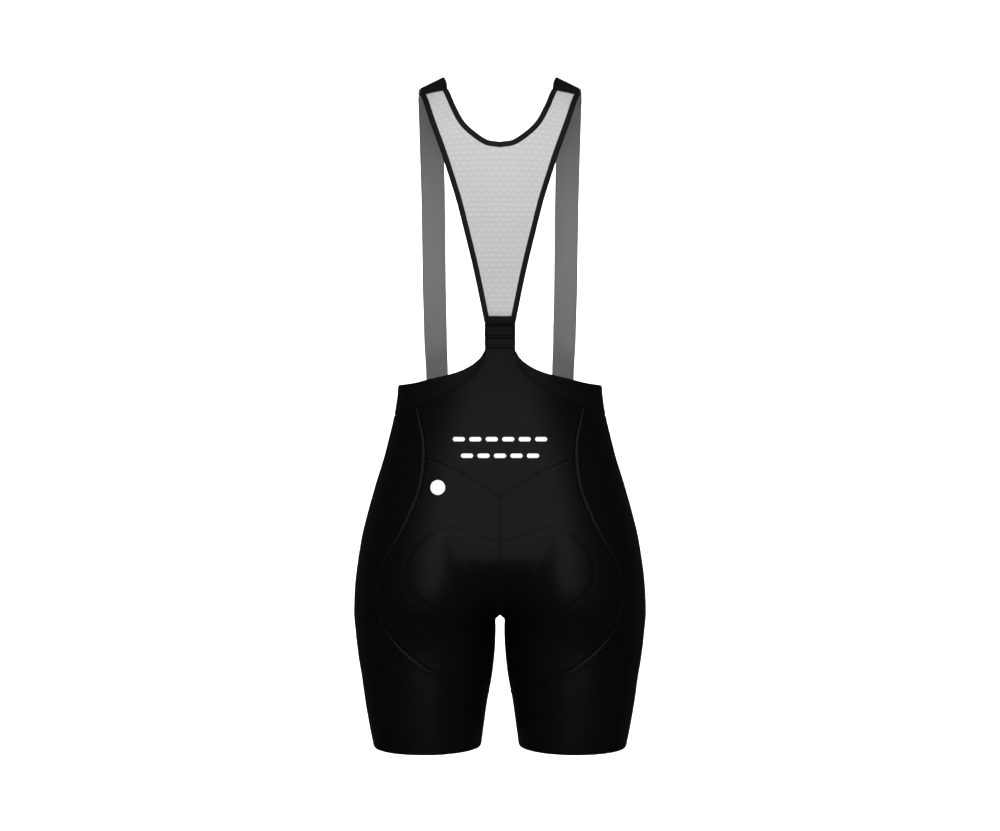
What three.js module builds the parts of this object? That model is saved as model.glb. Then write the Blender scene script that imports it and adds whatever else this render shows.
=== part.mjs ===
// Cycling bib shorts, held in the shape they have when worn.
// Millimetres, +Z up, front facing -Y, the wearer's left at +X.
// The origin lies between the two places where the straps bear on the shoulders.

import * as THREE from "three";

// Cloth and seams
const CLOTH = 1.5;
const MESH_CLOTH = 1.2;
const STRAP_CLOTH = 1.5;
const SEAM_GAP = 0.3;

// Heights on the shorts
const CROTCH_Z = -635;
const HEM_Z = -791;
const YOKE_TOP_Z = -311;
const WAIST_SIDE_Z = -361;
const WAIST_FRONT_DIP = 24;
const WAISTBAND_HEIGHT = 36;
const SWOOP_END_Z = -723;

// Curves where the two leg tubes meet
const CROTCH_ARCH = 6;
const RISE_BACK = 122;
const RISE_BACK_HEIGHT = 85;
const RISE_FRONT = 99;
const RISE_FRONT_HEIGHT = 70;
const OUTER_FULLNESS = 2.2;
const INNER_FULLNESS = 2.0;

// Shoulders and straps
const STRAP_WIDTH = 31;
const STRAP_LINE_X = 80;
const CREST_X = 84;
const SHOULDER_SLOPE = 0.4925;
const SLOPE_FADE_START = 20;
const SLOPE_FADE_LENGTH = 160;
const STRAP_END_Z = -398;
const STRAP_BLEND_Z = -300;
const STRAP_BLEND = 50;
const BINDING_WIDTH = 6;
const BINDING_THICKNESS = 2.2;
const BINDING_UNDERLAP = 0.3;
const BINDING_CROWN = 0.4;
const MESH_END_S = 340;

// Clip
const CLIP_WIDTH = 33.4;
const CLIP_TOP_Z = -281.5;
const CLIP_THICKNESS = 4.5;
const CLIP_UPPER_HEIGHT = 24.8;
const CLIP_LOWER_HEIGHT = 11;
const CLIP_GROOVE = 0.8;
const CLIP_CORNER = 3;
const CLIP_BEVEL = 0.5;
const WINDOW_TOP = 11.2;
const WINDOW_HEIGHT = 11.5;
const WINDOW_FRAME = 2.7;
const INSERT_RECESS = 1.2;

// Rows and columns of the panels
const NECK_COLUMNS = 2;
const BAND_COLUMNS = 9;
const YOKE_COLUMNS = NECK_COLUMNS + 1 + BAND_COLUMNS;
const YOKE_ROWS = 5;
const SEAT_ROWS = 16;
const SIDE_COLUMNS = 12;
const FRONT_COLUMNS = 9;
const LOWER_LEG_ROWS = 4;
const FRONT_RISE_ROWS = YOKE_ROWS + SEAT_ROWS - YOKE_COLUMNS;
const BAND_ROWS = 2;
const MESH_COLUMNS = 16;
const MESH_ROWS = 8;
const STRAP_ROWS = 28;
const STRAP_COLUMNS = 2;

// Rows of numbers under named columns
function table(names, rows) {
  const keys = names.split(" ");
  return rows.map((row) => Object.fromEntries(keys.map((key, i) => [key, row[i]])));
}

// The level sections of the shorts. Each leg is a tube: its outer side reaches "side" from the
// centre plane, its back and front reach "back" and "front" from y = 0 at the widths backX and
// frontX, "mid" is the depth of the side line, and gap is half the space between the legs.
const SECTIONS = table("z side mid back backX front frontX gap", [
  [-250, 134, 0, 88.5, 12, 104, 12, 0],
  [-320, 124, 0, 84.8, 13, 98, 12, 0],
  [-365, 122.5, 0, 82, 14, 95, 14, 0],
  [-392, 126, 0, 84, 22, 98, 18, 0],
  [-421, 132.5, 1, 90, 34, 102, 24, 0],
  [-450, 140, 2, 98, 46, 105, 30, 0],
  [-479, 149, 3, 106.5, 56, 107, 38, 0],
  [-508, 157, 5, 115, 64, 107, 46, 0],
  [-536, 164, 6, 122, 70, 105, 54, 0],
  [-565, 169, 7, 127, 74, 101, 62, 0],
  [-594, 172.5, 8, 128.5, 78, 96.5, 70, 0],
  [-620, 174, 8, 123, 82, 92.5, 77, 0],
  [-636, 174, 8, 115.5, 84, 91.5, 81, 4.8],
  [-652, 172.5, 7.5, 107.5, 86, 91, 84, 4.8],
  [-668, 171, 7, 102, 87, 90.5, 86, 5.4],
  [-680, 169.5, 6.5, 99.5, 87.5, 90, 87, 6.2],
  [-709, 165, 5, 95, 88, 88, 87, 9.6],
  [-738, 161, 4, 90.5, 88, 85, 87.5, 15],
  [-767, 156, 3, 85.5, 87.5, 81, 87.5, 19],
  [-792, 151, 2, 81, 87, 77, 87, 22.5],
]);

// Seams seen from behind, on the wearer's left
const SWOOP_SEAM = table("x z", [
  [97, -386],
  [93.4, -401],
  [89.5, -418],
  [87.6, -433],
  [87.5, -447.3],
  [88.7, -462],
  [92.1, -481],
  [98.9, -500],
  [112.8, -530],
  [130.3, -561],
  [138.6, -588],
  [139.4, -612],
  [133.1, -638],
  [118, -660],
  [98, -678],
  [73.5, -694],
  [48, -706],
  [24.5, -716],
]);
const V_SEAM = table("x z", [
  [0, -489],
  [24, -475.1],
  [42.8, -464.5],
  [59.5, -456.5],
  [73.5, -450.8],
  [87.5, -447.3],
]);
const TOP_EDGE = table("x z", [
  [17.6, -322],
  [20.4, -329],
  [26, -336],
  [34, -340.5],
  [46, -345],
  [61, -349.2],
  [85, -354.5],
  [103, -358.5],
]);
const BAND_SEAM = table("x z", [
  [17, -323],
  [19.5, -332],
  [24.2, -342.3],
  [33.7, -351.6],
  [45.6, -359.9],
  [57.5, -367],
  [71.8, -373.5],
  [84, -379],
  [97, -386],
]);
const YOKE_NECK_HALF = 16.6;

// Where the rows of the side panel meet the front side seam
const SIDE_SEAM = table("u z row", [
  [2.42, -402, 0],
  [2.4, -462, YOKE_ROWS],
  [2.36, -572, FRONT_RISE_ROWS],
  [2.42, -722, YOKE_ROWS + SEAT_ROWS],
  [2.45, HEM_Z, YOKE_ROWS + SEAT_ROWS + LOWER_LEG_ROWS],
]);

// The line over the shoulder at the strap, from the back through the crest to the front waist.
// bend is how strongly the body curves across it, and strapX is the middle of the strap.
const SHOULDER_LINE = table("y z bend strapX", [
  [76, -350, 1 / 350, 77.6],
  [78.5, -300, 1 / 350, 77.6],
  [83, -250, 1 / 350, 77.6],
  [91, -200, 1 / 350, 77.6],
  [96, -150, 1 / 350, 77.6],
  [95.5, -105, 1 / 350, 77.6],
  [86, -65, 1 / 380, 77.6],
  [67, -32, 1 / 500, 77.6],
  [43, -11, 1 / 900, 78.6],
  [20, -2, 0, 81],
  [0, 0, 0, 84],
  [-28, -7, -1 / 900, 85.5],
  [-54, -25, -1 / 400, 85.5],
  [-77, -55, -1 / 300, 85],
  [-93, -95, -1 / 250, 84.2],
  [-99.5, -140, -1 / 220, 83.4],
  [-98.5, -190, -1 / 200, 82.8],
  [-93.5, -240, -1 / 185, 82],
  [-88, -290, -1 / 165, 80.6],
  [-83, -335, -1 / 145, 79.6],
  [-79.5, -372, -1 / 138, 79.2],
  [-78, -410, -1 / 138, 79.2],
]);
const CREST_ROW = 10;

// Edges of the mesh back. s is the length along the shoulder line from the crest down the back.
const NECKLINE = table("x s", [
  [66.6, 65],
  [56.5, 96.3],
  [45.8, 117.5],
  [32.6, 130.8],
  [16.3, 141.1],
  [0, 144.1],
]);
const ARMHOLE = table("x s", [
  [87.7, 56.7],
  [75.7, 105.5],
  [58.3, 156.1],
  [45.4, 196.5],
  [37, 229],
  [25.6, 276],
  [12.3, MESH_END_S],
]);

const LYCRA = new THREE.MeshStandardMaterial({ color: 0x141414, roughness: 0.62, metalness: 0 });
const BAND_CLOTH = new THREE.MeshStandardMaterial({ color: 0x101010, roughness: 0.7, metalness: 0 });
const MESH_KNIT = new THREE.MeshStandardMaterial({ color: 0xc3c3c3, roughness: 0.8, metalness: 0 });
const BINDING_TAPE = new THREE.MeshStandardMaterial({ color: 0x1c1c1c, roughness: 0.75, metalness: 0 });
const STRAP_ELASTIC = new THREE.MeshStandardMaterial({ color: 0x2a2a2a, roughness: 0.7, metalness: 0 });
const CLIP_PLASTIC = new THREE.MeshStandardMaterial({ color: 0x111111, roughness: 0.4, metalness: 0 });

const clamp = (value, low, high) => Math.min(Math.max(value, low), high);

// A smooth curve through one column of a table whose key column falls from row to row
function columnCurve(rows, key, column) {
  const keys = rows.map((row) => row[key]).reverse();
  const values = rows.map((row) => row[column]).reverse();
  const last = keys.length - 1;
  const slope = (i) => (values[i + 1] - values[i]) / (keys[i + 1] - keys[i]);
  const tangents = keys.map((unused, i) => {
    if (i === 0) return slope(0);
    if (i === last) return slope(last - 1);
    const before = keys[i] - keys[i - 1];
    const after = keys[i + 1] - keys[i];
    return (slope(i) * before + slope(i - 1) * after) / (before + after);
  });
  return (at) => {
    const place = clamp(at, keys[0], keys[last]);
    let i = 0;
    while (i < last - 1 && keys[i + 1] < place) i += 1;
    const width = keys[i + 1] - keys[i];
    const t = (place - keys[i]) / width;
    const rise = values[i + 1] - values[i];
    const cubic = t * t * (3 - 2 * t) * rise;
    const start = t * (1 - t) * (1 - t) * width * tangents[i];
    const end = t * t * (t - 1) * width * tangents[i + 1];
    return values[i] + cubic + start + end;
  };
}

const section = Object.fromEntries(
  ["side", "mid", "back", "backX", "front", "frontX", "gap"].map((name) => [
    name,
    columnCurve(SECTIONS, "z", name),
  ]),
);

// The larger of two lengths, rounded over a width where they are nearly equal
function softMax(a, b, width) {
  const h = Math.max(width - Math.abs(a - b), 0) / width;
  return Math.max(a, b) + (h * h * width) / 4;
}

// Radius of a unit superellipse in a direction
function fullness(angle, power) {
  const sum = Math.abs(Math.cos(angle)) ** power + Math.abs(Math.sin(angle)) ** power;
  return sum ** (-1 / power);
}

// Height of the saddle between the legs, a quarter ellipse that levels out at the seat or belly
function rise(z, extent, top, height) {
  const q = clamp(1 - (z - CROTCH_Z) / height, 0, 1);
  const curve = top * Math.sqrt(Math.max(1 - q * q, 0));
  return -softMax(-curve, -extent, 6);
}

const RISE_STEPS = 64;

// The inner quarter of a leg section, from the centre plane or inseam to the back or front of
// the leg, as a place at fraction f of its length. Returns the width and the depth from mid.
function innerQuarter(f, z, extent, peakX, top, height) {
  const torso = z >= CROTCH_Z;
  const depth = clamp((CROTCH_Z - z) / CROTCH_ARCH, 0, 1);
  const gap = torso ? 0 : section.gap(z) * Math.sqrt(2 * depth - depth * depth);
  const saddle = torso ? rise(z, extent, top, height) : 0;
  const blend = clamp(Math.min(0.6 * saddle, 0.98 * (extent - saddle)), 0.01, 45);
  const line = [];
  for (let i = 0; i <= RISE_STEPS; i += 1) {
    const angle = (1 - i / RISE_STEPS) * (Math.PI / 2);
    const r = fullness(angle, INNER_FULLNESS);
    const x = peakX - (peakX - gap) * Math.sin(angle) * r;
    const y = extent * Math.cos(angle) * r;
    line.push([x, torso ? softMax(y, saddle, blend) : y]);
  }
  const lengths = [0];
  for (let i = 1; i < line.length; i += 1) {
    const step = Math.hypot(line[i][0] - line[i - 1][0], line[i][1] - line[i - 1][1]);
    lengths.push(lengths[i - 1] + step);
  }
  const wanted = f * lengths[lengths.length - 1];
  let i = 0;
  while (i < lengths.length - 2 && lengths[i + 1] < wanted) i += 1;
  const t = (wanted - lengths[i]) / Math.max(lengths[i + 1] - lengths[i], 1e-9);
  return [0, 1].map((k) => line[i][k] * (1 - t) + line[i + 1][k] * t);
}

// A point of the shorts. u runs round the left half: 0 at the centre back or the inseam, 1 at
// the back of the leg, 2 at the side, 3 at the front and 4 at the centre front or the inseam.
function body(u, z) {
  const torso = z >= CROTCH_Z;
  let place = u;
  let mirror = 1;
  if (u < 0) {
    place = torso ? -u : u + 4;
    mirror = torso ? -1 : 1;
  } else if (u > 4) {
    place = torso ? 8 - u : u - 4;
    mirror = torso ? -1 : 1;
  }
  const mid = section.mid(z);
  const atBack = place <= 2;
  const around = atBack ? place : 4 - place;
  const sign = atBack ? 1 : -1;
  const extent = atBack ? section.back(z) - mid : section.front(z) + mid;
  const peakX = atBack ? section.backX(z) : section.frontX(z);
  if (around >= 1) {
    const angle = (around - 1) * (Math.PI / 2);
    const r = fullness(angle, OUTER_FULLNESS);
    const x = peakX + (section.side(z) - peakX) * r * Math.sin(angle);
    return new THREE.Vector3(mirror * x, mid + sign * extent * r * Math.cos(angle), z);
  }
  const top = atBack ? RISE_BACK - mid : RISE_FRONT + mid;
  const height = atBack ? RISE_BACK_HEIGHT : RISE_FRONT_HEIGHT;
  const [x, y] = innerQuarter(around, z, extent, peakX, top, height);
  return new THREE.Vector3(mirror * x, mid + sign * y, z);
}

// The outward direction of a surface of two parameters
function normalOf(surface, a, b, stepA, lowB, highB) {
  const alongA = surface(a + stepA, b).sub(surface(a - stepA, b));
  const alongB = surface(a, highB).sub(surface(a, lowB));
  return alongA.cross(alongB).normalize();
}

function bodyNormal(u, z) {
  const step = 0.6;
  const torso = z >= CROTCH_Z;
  const low = torso ? Math.max(z - step, CROTCH_Z) : z - step;
  const high = torso ? z + step : Math.min(z + step, CROTCH_Z - 1e-6);
  return normalOf(body, u, z, 0.01, low, high).negate();
}

// The u of a point of the back or front that is x from the centre plane
function aroundAt(x, z, atFront = false) {
  let low = atFront ? 2 : 0;
  let high = low + 2;
  for (let i = 0; i < 40; i += 1) {
    const middle = (low + high) / 2;
    const inside = body(middle, z).x < x;
    if (inside !== atFront) low = middle;
    else high = middle;
  }
  return (low + high) / 2;
}

// A smooth line through places {u, z} of the shorts, as close points
const FINE = 240;
function smoothLine(places) {
  const spread = 100;
  const points = places.map((place) => new THREE.Vector3(place.u * spread, place.z, 0));
  const curve = new THREE.CatmullRomCurve3(points, false, "centripetal");
  return curve.getPoints(FINE).map((point) => ({ u: point.x / spread, z: point.y }));
}

// Places at even distances along a line on a surface
function evenly(line, count, toPoint = (place) => body(place.u, place.z)) {
  const points = line.map(toPoint);
  const lengths = [0];
  for (let i = 1; i < points.length; i += 1) {
    lengths.push(lengths[i - 1] + points[i].distanceTo(points[i - 1]));
  }
  const keys = Object.keys(line[0]);
  return Array.from({ length: count + 1 }, (unused, n) => {
    const wanted = (n / count) * lengths[lengths.length - 1];
    let i = 0;
    while (i < lengths.length - 2 && lengths[i + 1] < wanted) i += 1;
    const t = (wanted - lengths[i]) / Math.max(lengths[i + 1] - lengths[i], 1e-9);
    return Object.fromEntries(keys.map((key) => [key, line[i][key] * (1 - t) + line[i + 1][key] * t]));
  });
}

const onBack = (rows) => rows.map((row) => ({ u: row.x === 0 ? 0 : aroundAt(row.x, row.z), z: row.z }));
const upright = (u, from, to, count) =>
  Array.from({ length: count + 1 }, (unused, i) => ({ u, z: from + ((to - from) * i) / count }));

// Fills the space between four border lines of places, which share their corners
function fill(left, right, top, bottom) {
  const rows = left.length - 1;
  const columns = top.length - 1;
  return left.map((leftPlace, i) =>
    top.map((topPlace, j) => {
      const a = i / rows;
      const b = j / columns;
      return Object.fromEntries(
        Object.keys(leftPlace).map((key) => {
          const ruled = (1 - a) * topPlace[key] + a * bottom[j][key];
          const across = (1 - b) * leftPlace[key] + b * right[i][key];
          const upper = (1 - b) * top[0][key] + b * top[columns][key];
          const lower = (1 - b) * bottom[0][key] + b * bottom[columns][key];
          return [key, ruled + across - (1 - a) * upper - a * lower];
        }),
      );
    }),
  );
}

// Moves the border of a grid of points inwards along the surface by half of the seam gap
function inset(points, normals) {
  const rows = points.length - 1;
  const columns = points[0].length - 1;
  const distance = SEAM_GAP / 2;
  const inward = (point, normal, along, inner) => {
    const side = new THREE.Vector3().crossVectors(normal, along).normalize();
    return side.dot(inner.clone().sub(point)) < 0 ? side.negate() : side;
  };
  return points.map((row, i) =>
    row.map((point, j) => {
      const moves = [];
      if (j === 0 || j === columns) {
        const along = points[Math.min(i + 1, rows)][j].clone().sub(points[Math.max(i - 1, 0)][j]);
        moves.push(inward(point, normals[i][j], along, row[j === 0 ? 1 : columns - 1]));
      }
      if (i === 0 || i === rows) {
        const along = row[Math.min(j + 1, columns)].clone().sub(row[Math.max(j - 1, 0)]);
        moves.push(inward(point, normals[i][j], along, points[i === 0 ? 1 : rows - 1][j]));
      }
      if (moves.length === 0) return point;
      const sum = moves.reduce((total, move) => total.add(move), new THREE.Vector3());
      const spread = moves.length === 1 ? 1 : 1 + moves[0].dot(moves[1]);
      return point.clone().addScaledVector(sum, distance / Math.max(spread, 0.5));
    }),
  );
}

function signedVolume(positions, faces) {
  const corner = (k) => new THREE.Vector3().fromArray(positions, k * 3);
  let volume = 0;
  for (let i = 0; i < faces.length; i += 3) {
    volume += corner(faces[i]).dot(corner(faces[i + 1]).cross(corner(faces[i + 2])));
  }
  return volume;
}

function closedMesh(name, material, points, faces) {
  const positions = points.flatMap((point) => [point.x, point.y, point.z]);
  if (signedVolume(positions, faces) < 0) faces.reverse();
  const geometry = new THREE.BufferGeometry();
  geometry.setAttribute("position", new THREE.Float32BufferAttribute(positions, 3));
  geometry.setIndex(faces);
  geometry.computeVertexNormals();
  const mesh = new THREE.Mesh(geometry, material);
  mesh.name = name;
  return mesh;
}

// A cloth wall between a grid of outer points and the same points moved inwards
function clothWall(name, material, points, normals, thickness) {
  const rows = points.length;
  const columns = points[0].length;
  const outer = points.flat();
  const directions = normals.flat();
  const inner = outer.map((point, k) => point.clone().addScaledVector(directions[k], -thickness));
  const all = [...outer, ...inner];
  const half = outer.length;
  const faces = [];
  const quad = (a, b, c, d) => {
    if (all[a].distanceTo(all[c]) <= all[b].distanceTo(all[d])) faces.push(a, b, c, a, c, d);
    else faces.push(a, b, d, b, c, d);
  };
  const at = (i, j) => i * columns + j;
  for (let i = 0; i < rows - 1; i += 1) {
    for (let j = 0; j < columns - 1; j += 1) {
      quad(at(i, j), at(i, j + 1), at(i + 1, j + 1), at(i + 1, j));
      quad(half + at(i + 1, j), half + at(i + 1, j + 1), half + at(i, j + 1), half + at(i, j));
    }
  }
  const border = [];
  for (let j = 0; j < columns - 1; j += 1) border.push(at(0, j));
  for (let i = 0; i < rows - 1; i += 1) border.push(at(i, columns - 1));
  for (let j = columns - 1; j > 0; j -= 1) border.push(at(rows - 1, j));
  for (let i = rows - 1; i > 0; i -= 1) border.push(at(i, 0));
  border.forEach((a, k) => {
    const b = border[(k + 1) % border.length];
    quad(b, a, half + a, half + b);
  });
  return closedMesh(name, material, all, faces);
}

// The wearer's right is the left mirrored in the centre plane
const mirrored = (points) => points.map((row) => row.map((p) => new THREE.Vector3(-p.x, p.y, p.z)));

function bodyPanel(places) {
  const points = places.map((row) => row.map((place) => body(place.u, place.z)));
  const normals = places.map((row) => row.map((place) => bodyNormal(place.u, place.z)));
  return { points: inset(points, normals), normals };
}

function pair(name, material, panel, thickness) {
  return [
    clothWall(`${name}_left`, material, panel.points, panel.normals, thickness),
    clothWall(`${name}_right`, material, mirrored(panel.points), mirrored(panel.normals), thickness),
  ];
}

// Seam lines of the shorts
const swoop = smoothLine([...onBack(SWOOP_SEAM), { u: 0, z: SWOOP_END_Z }]);
const vSeamEnd = V_SEAM[V_SEAM.length - 1];
const swoopTurn = swoop.findIndex((place) => place.z <= vSeamEnd.z);
const swoopUpper = evenly(swoop.slice(0, swoopTurn + 1), YOKE_ROWS);
const swoopLower = evenly(swoop.slice(swoopTurn), SEAT_ROWS);
const vSeam = evenly([...smoothLine(onBack(V_SEAM)).slice(0, -1), swoopLower[0]], YOKE_COLUMNS);
const centreBack = evenly(upright(0, V_SEAM[0].z, CROTCH_Z, FINE), SEAT_ROWS);
const inseamUpper = upright(0, CROTCH_Z, SWOOP_END_Z, YOKE_COLUMNS);
const inseamLower = upright(0, SWOOP_END_Z, HEM_Z, LOWER_LEG_ROWS);

// The lower seam of the waistband, and its upper edge, in three stretches: along the yoke,
// round the side and across the front
const WAIST_DIP = table("u share", [
  [2, 0],
  [SIDE_SEAM[0].u, 0.2],
  [2.7, 0.68],
  [3, 0.97],
  [3.5, 0.99],
  [4, 1],
]);
const waistLine = (drop) =>
  WAIST_DIP.map(({ u, share }) => ({ u, z: WAIST_SIDE_Z - drop - share * WAIST_FRONT_DIP }));
const bandSeam = smoothLine([...onBack(BAND_SEAM), ...waistLine(WAISTBAND_HEIGHT)]);
const topEdge = smoothLine([...onBack(TOP_EDGE), ...waistLine(0)]);

function stretches(line, corner) {
  const cornerAt = line.findIndex((place) => place.u >= corner.u);
  const sideAt = line.findIndex((place) => place.u >= SIDE_SEAM[0].u);
  return {
    back: evenly([...line.slice(0, cornerAt), corner], BAND_COLUMNS),
    side: evenly([corner, ...line.slice(cornerAt + 1, sideAt + 1)], SIDE_COLUMNS),
    front: evenly(line.slice(sideAt), FRONT_COLUMNS),
  };
}

const onTop = topEdge.find((place) => place.u >= swoopUpper[0].u);
const seamParts = stretches(bandSeam, swoopUpper[0]);
const edgeParts = stretches(topEdge, onTop);

// The seam between the side panel and the front panel, row by row
const sideSeam = [seamParts.front[0]];
for (let k = 1; k < SIDE_SEAM.length; k += 1) {
  const to = SIDE_SEAM[k];
  const from = sideSeam[sideSeam.length - 1];
  const firstRow = SIDE_SEAM[k - 1].row;
  for (let row = firstRow + 1; row <= to.row; row += 1) {
    const t = (row - firstRow) / (to.row - firstRow);
    sideSeam.push({ u: from.u + (to.u - from.u) * t, z: from.z + (to.z - from.z) * t });
  }
}

const level = (from, to, z) =>
  Array.from({ length: FINE + 1 }, (unused, i) => ({ u: from + ((to - from) * i) / FINE, z }));

// Yoke, one piece across the centre back, with the narrow neck that runs up under the clip
function yoke() {
  const neckCorner = { u: aroundAt(YOKE_NECK_HALF, YOKE_TOP_Z), z: YOKE_TOP_Z };
  const neckTop = evenly([{ u: 0, z: YOKE_TOP_Z }, neckCorner], NECK_COLUMNS);
  const top = [...neckTop, ...seamParts.back];
  const centre = evenly(upright(0, YOKE_TOP_Z, V_SEAM[0].z, FINE), YOKE_ROWS);
  const half = fill(centre, swoopUpper, top, vSeam);
  const whole = half.map((row) => {
    const other = row.slice(1).map((place) => ({ u: -place.u, z: place.z }));
    return [...other.reverse(), ...row];
  });
  const panel = bodyPanel(whole);
  return clothWall("yoke_back", LYCRA, panel.points, panel.normals, CLOTH);
}

function waistbands() {
  const seam = [...seamParts.back, ...seamParts.side.slice(1), ...seamParts.front.slice(1)];
  const edge = [...edgeParts.back, ...edgeParts.side.slice(1), ...edgeParts.front.slice(1)];
  const between = (a, b) =>
    Array.from({ length: BAND_ROWS + 1 }, (unused, i) => {
      const t = i / BAND_ROWS;
      return { u: a.u + (b.u - a.u) * t, z: a.z + (b.z - a.z) * t };
    });
  const places = fill(between(edge[0], seam[0]), between(edge.at(-1), seam.at(-1)), edge, seam);
  return pair("waistband", BAND_CLOTH, bodyPanel(places), CLOTH);
}

function seats() {
  const places = fill(centreBack, swoopLower, vSeam, inseamUpper);
  return pair("seat", LYCRA, bodyPanel(places), CLOTH);
}

function sideLegs() {
  const backEdge = [...swoopUpper, ...swoopLower.slice(1), ...inseamLower.slice(1)];
  const hem = evenly(level(0, sideSeam.at(-1).u, HEM_Z), SIDE_COLUMNS);
  return pair("side_leg", LYCRA, bodyPanel(fill(backEdge, sideSeam, seamParts.side, hem)), CLOTH);
}

function fronts() {
  const rise = evenly(upright(4, seamParts.front.at(-1).z, CROTCH_Z, FINE), FRONT_RISE_ROWS);
  const inseam = [...inseamUpper.slice(1), ...inseamLower.slice(1)].map(({ z }) => ({ u: 4, z }));
  const hem = evenly(level(sideSeam.at(-1).u, 4, HEM_Z), FRONT_COLUMNS);
  const places = fill(sideSeam, [...rise, ...inseam], seamParts.front, hem);
  return pair("front", LYCRA, bodyPanel(places), CLOTH);
}

// The line over the shoulder, sampled by its length from the crest, positive down the back
function sampleShoulder() {
  const points = SHOULDER_LINE.map((row) => new THREE.Vector3(0, row.y, row.z));
  const curve = new THREE.CatmullRomCurve3(points, false, "centripetal");
  const perRow = 20;
  const count = (SHOULDER_LINE.length - 1) * perRow;
  const samples = [];
  let length = 0;
  for (let i = 0; i <= count; i += 1) {
    const point = curve.getPoint(i / count);
    if (i > 0) length += Math.hypot(point.y - samples[i - 1].y, point.z - samples[i - 1].z);
    const row = Math.min(Math.floor(i / perRow), SHOULDER_LINE.length - 2);
    const t = i / perRow - row;
    const mix = (key) => SHOULDER_LINE[row][key] * (1 - t) + SHOULDER_LINE[row + 1][key] * t;
    samples.push({ length, y: point.y, z: point.z, bend: mix("bend"), strapX: mix("strapX") });
  }
  const crest = samples[CREST_ROW * perRow].length;
  return samples.map((sample) => ({ ...sample, s: crest - sample.length }));
}

const shoulderSamples = sampleShoulder();

function shoulderAt(s) {
  const last = shoulderSamples.length - 2;
  let i = shoulderSamples.findIndex((sample) => sample.s < s) - 1;
  if (i === -2) i = last;
  i = clamp(i, 0, last);
  const a = shoulderSamples[i];
  const b = shoulderSamples[i + 1];
  const t = (a.s - s) / (a.s - b.s);
  return Object.fromEntries(Object.keys(a).map((key) => [key, a[key] * (1 - t) + b[key] * t]));
}

// A point of the upper body, x across and s along the shoulder line
function upper(x, s) {
  const line = shoulderAt(s);
  const far = clamp((Math.abs(s) - SLOPE_FADE_START) / SLOPE_FADE_LENGTH, 0, 1);
  const slope = SHOULDER_SLOPE * (1 - far * far * (3 - 2 * far));
  const y = line.y - ((x * x - STRAP_LINE_X * STRAP_LINE_X) / 2) * line.bend;
  return new THREE.Vector3(x, y, line.z + slope * (CREST_X - Math.abs(x)));
}

const upperNormal = (x, s) => normalOf(upper, x, s, 0.5, s - 0.5, s + 0.5);
const atUpper = (place) => upper(place.x, place.s);

function evenlyUpper(rows, count) {
  const points = rows.map((row) => new THREE.Vector3(row.x, row.s, 0));
  const curve = new THREE.CatmullRomCurve3(points, false, "centripetal");
  const line = curve.getPoints(FINE).map((point) => ({ x: point.x, s: point.y }));
  return evenly(line, count, atUpper);
}

const neckline = evenlyUpper(NECKLINE, MESH_COLUMNS);
const armhole = evenlyUpper(ARMHOLE, MESH_COLUMNS - 1);

const toGrid = (places) => ({
  points: places.map((row) => row.map(atUpper)),
  normals: places.map((row) => row.map((place) => upperNormal(place.x, place.s))),
});

// Mesh back, one piece, from the shoulders down to the clip, with the scooped neckline on top
function meshBack() {
  const outer = [...armhole, { x: 0, s: MESH_END_S }];
  const between = (a, b) =>
    Array.from({ length: MESH_ROWS + 1 }, (unused, i) => {
      const t = i / MESH_ROWS;
      return { x: a.x + (b.x - a.x) * t, s: a.s + (b.s - a.s) * t };
    });
  const half = neckline.map((place, j) => between(place, outer[j]));
  const other = half.slice(0, -1).map((row) => row.map(({ x, s }) => ({ x: -x, s })));
  const { points, normals } = toGrid([...half, ...other.reverse()]);
  return clothWall("mesh_back", MESH_KNIT, inset(points, normals), normals, MESH_CLOTH);
}

// A band of constant section swept along a line. The outline's a runs away from the mesh in the
// surface, and its b runs outwards from it. The end sections lie along the shoulder seams.
function sweptBand(name, material, line, away, seams, outline) {
  const points = line.map(atUpper);
  const rings = points.map((point, i) => {
    const before = points[Math.max(i - 1, 0)];
    const after = points[Math.min(i + 1, points.length - 1)];
    const normal = upperNormal(line[i].x, line[i].s);
    const square = new THREE.Vector3().crossVectors(normal, after.clone().sub(before)).normalize();
    if (square.dot(away) < 0) square.negate();
    const seam = seams[i];
    const side = seam ? seam.clone().divideScalar(seam.dot(square)) : square;
    return outline.map(([a, b]) => point.clone().addScaledVector(side, a).addScaledVector(normal, b));
  });
  const around = outline.length;
  const faces = [];
  for (let i = 0; i < rings.length - 1; i += 1) {
    for (let k = 0; k < around; k += 1) {
      const next = (k + 1) % around;
      const a = i * around;
      const b = a + around;
      faces.push(a + k, a + next, b + next, a + k, b + next, b + k);
    }
  }
  const lastRing = (rings.length - 1) * around;
  for (let k = 1; k < around - 1; k += 1) {
    faces.push(0, k + 1, k, lastRing, lastRing + k, lastRing + k + 1);
  }
  return closedMesh(name, material, rings.flat(), faces);
}

const bindingInside = -MESH_CLOTH - BINDING_UNDERLAP;
const bindingOutside = bindingInside + BINDING_THICKNESS;
const BINDING_OUTLINE = [
  [SEAM_GAP / 2, bindingInside],
  [BINDING_WIDTH, bindingInside],
  [BINDING_WIDTH, bindingOutside - BINDING_CROWN],
  [BINDING_WIDTH / 2, bindingOutside],
  [SEAM_GAP / 2, bindingOutside - BINDING_CROWN],
];

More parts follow.
